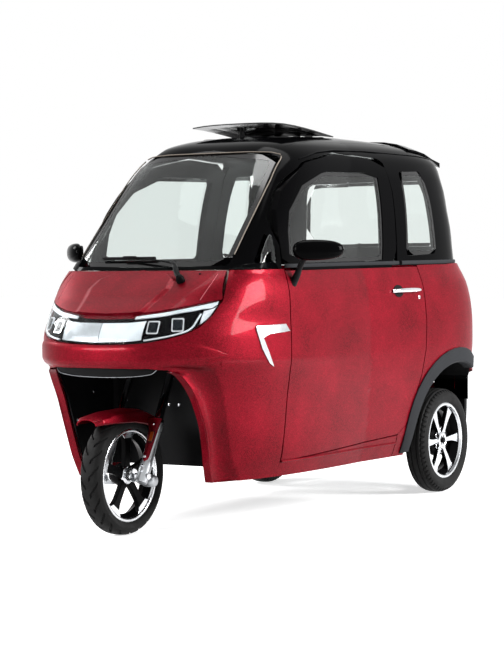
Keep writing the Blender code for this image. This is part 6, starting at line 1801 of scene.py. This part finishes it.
@dataclass
class Studio:
    """Pale floor, white surroundings, soft lamps and the camera that matches the picture."""

    azimuth: float = 0.561183
    pitch: float = -0.0393286
    roll: float = -0.0139754
    focal_px: float = 2079.05
    frame_height_px: int = 659
    place: tuple[float, float, float] = (4.7081, -7.4608, 1.1052)

    def camera(self) -> None:
        """Camera whose axes are the fitted ones; the sensor's long side is the frame's height."""
        az, pitch, roll = self.azimuth, self.pitch, self.roll
        ahead = Vector((-math.sin(az) * math.cos(pitch), math.cos(az) * math.cos(pitch),
                        math.sin(pitch)))
        right = Vector((math.cos(az), math.sin(az), 0))
        up = right.cross(ahead)
        x_axis = right * math.cos(roll) + up * math.sin(roll)
        y_axis = up * math.cos(roll) - right * math.sin(roll)
        data = bpy.data.cameras.new("camera")
        data.sensor_fit = "AUTO"
        data.sensor_width = 36.0
        data.lens = 36.0 * self.focal_px / self.frame_height_px
        item = bpy.data.objects.new("camera", data)
        matrix = Matrix((x_axis, y_axis, -ahead)).transposed().to_4x4()
        matrix.translation = Vector(self.place)
        item.matrix_world = matrix
        bpy.context.scene.collection.objects.link(item)
        bpy.context.scene.camera = item

    def floor(self) -> None:
        """One wide sheet, white to the camera, that keeps the shadow."""
        spread = np.linspace(-30, 30, 13)
        across, along = np.meshgrid(spread, spread)
        points = np.stack([across, along, 0 * across], -1)
        sheet = Shape().add(points, grid_faces(13, 13, False, False))
        sheet.item("studio_floor", [self.paper()])

    def seen(self, tree: bpy.types.NodeTree, path: Any) -> Any:
        """One for the rays that show the background: camera, mirrored and passed through glass."""
        straight = add_node(tree, "ShaderNodeMath", {"operation": "MAXIMUM"},
                            {0: path.outputs["Is Camera Ray"],
                             1: path.outputs["Is Transmission Ray"]})
        return add_node(tree, "ShaderNodeMath", {"operation": "MAXIMUM"},
                        {0: straight.outputs[0], 1: path.outputs["Is Glossy Ray"]}).outputs[0]

    def paper(self) -> bpy.types.Material:
        """Matt white paper that the camera, mirrors and glass see at full white."""
        made = bpy.data.materials.new("studio_paper")
        made.use_nodes = True
        tree = made.node_tree
        tree.nodes.clear()
        path = add_node(tree, "ShaderNodeLightPath")
        diffuse = add_node(tree, "ShaderNodeBsdfDiffuse", {"Color": linear("#f4f4f4")})
        plain = add_node(tree, "ShaderNodeBsdfDiffuse", {"Color": linear("#8c8c8c")})
        spot = add_node(tree, "ShaderNodeTexCoord")
        away = add_node(tree, "ShaderNodeVectorMath", {"operation": "LENGTH"},
                        {0: spot.outputs["Object"]})
        level = add_node(tree, "ShaderNodeMapRange",
                         {"From Min": 1.8, "From Max": 5.0, "To Min": 0.62, "To Max": 1.0},
                         {"Value": away.outputs["Value"]})
        glow = add_node(tree, "ShaderNodeEmission", {"Color": linear("#ffffff")},
                        {"Strength": level.outputs["Result"]})
        lit = add_node(tree, "ShaderNodeAddShader", links={0: diffuse.outputs[0],
                                                           1: glow.outputs[0]})
        seen = self.seen(tree, path)
        mixed = add_node(tree, "ShaderNodeMixShader",
                         links={"Fac": seen, 1: plain.outputs[0], 2: lit.outputs[0]})
        add_node(tree, "ShaderNodeOutputMaterial", links={"Surface": mixed.outputs[0]})
        return made

    def lamp(self, name: str, place: Sequence[float], size: tuple[float, float], watts: float,
             aim: Sequence[float] = (0, 0, 0.6)) -> None:
        """Rectangular soft box that faces a point."""
        data = bpy.data.lights.new(name, "AREA")
        data.shape = "RECTANGLE"
        data.size, data.size_y = size
        data.energy = watts
        item = bpy.data.objects.new(name, data)
        item.location = place
        item.rotation_euler = (Vector(aim) - Vector(place)).to_track_quat("-Z", "Y").to_euler()
        bpy.context.scene.collection.objects.link(item)

    def world(self) -> None:
        """Dim grey room, white where the camera, mirrors and glass see it."""
        world = bpy.data.worlds.new("studio")
        bpy.context.scene.world = world
        world.use_nodes = True
        tree = world.node_tree
        tree.nodes.clear()
        path = add_node(tree, "ShaderNodeLightPath")
        seen = self.seen(tree, path)
        dim = add_node(tree, "ShaderNodeBackground", {"Color": linear("#8a8d92"), "Strength": 0.55})
        white = add_node(tree, "ShaderNodeBackground", {"Color": linear("#ffffff"),
                                                        "Strength": 1.0})
        mixed = add_node(tree, "ShaderNodeMixShader",
                         links={"Fac": seen, 1: dim.outputs[0], 2: white.outputs[0]})
        add_node(tree, "ShaderNodeOutputWorld", links={"Surface": mixed.outputs[0]})

    def build(self) -> None:
        """Set the stage."""
        self.camera()
        self.floor()
        self.world()
        self.lamp("key", (4.4, 1.3, 1.9), (1.7, 1.7), 330)
        self.lamp("front", (-2.6, -5.4, 2.0), (1.6, 1.4), 210)
        self.lamp("left", (-3.9, -0.9, 3.2), (1.8, 1.8), 200)
        self.lamp("top", (0.0, 0.5, 5.0), (2.5, 2.5), 110)
        bpy.context.scene.view_settings.view_transform = "Standard"


def main() -> None:
    """Build every sub-assembly in order and report it."""
    logging.basicConfig(level=logging.INFO, format="%(message)s")
    for part in (Studio(), BodyPanels(), CarriedNodes(), Wheels(), Fork(), Headlamps(), FrontEnd(),
                 Trims(), DoorFittings(), Wiper(), Sunroof(), TailEnd(), Cabin()):
        part.build()
        LOG.info("%s done", type(part).__name__)


if __name__ == "__main__":
    main()
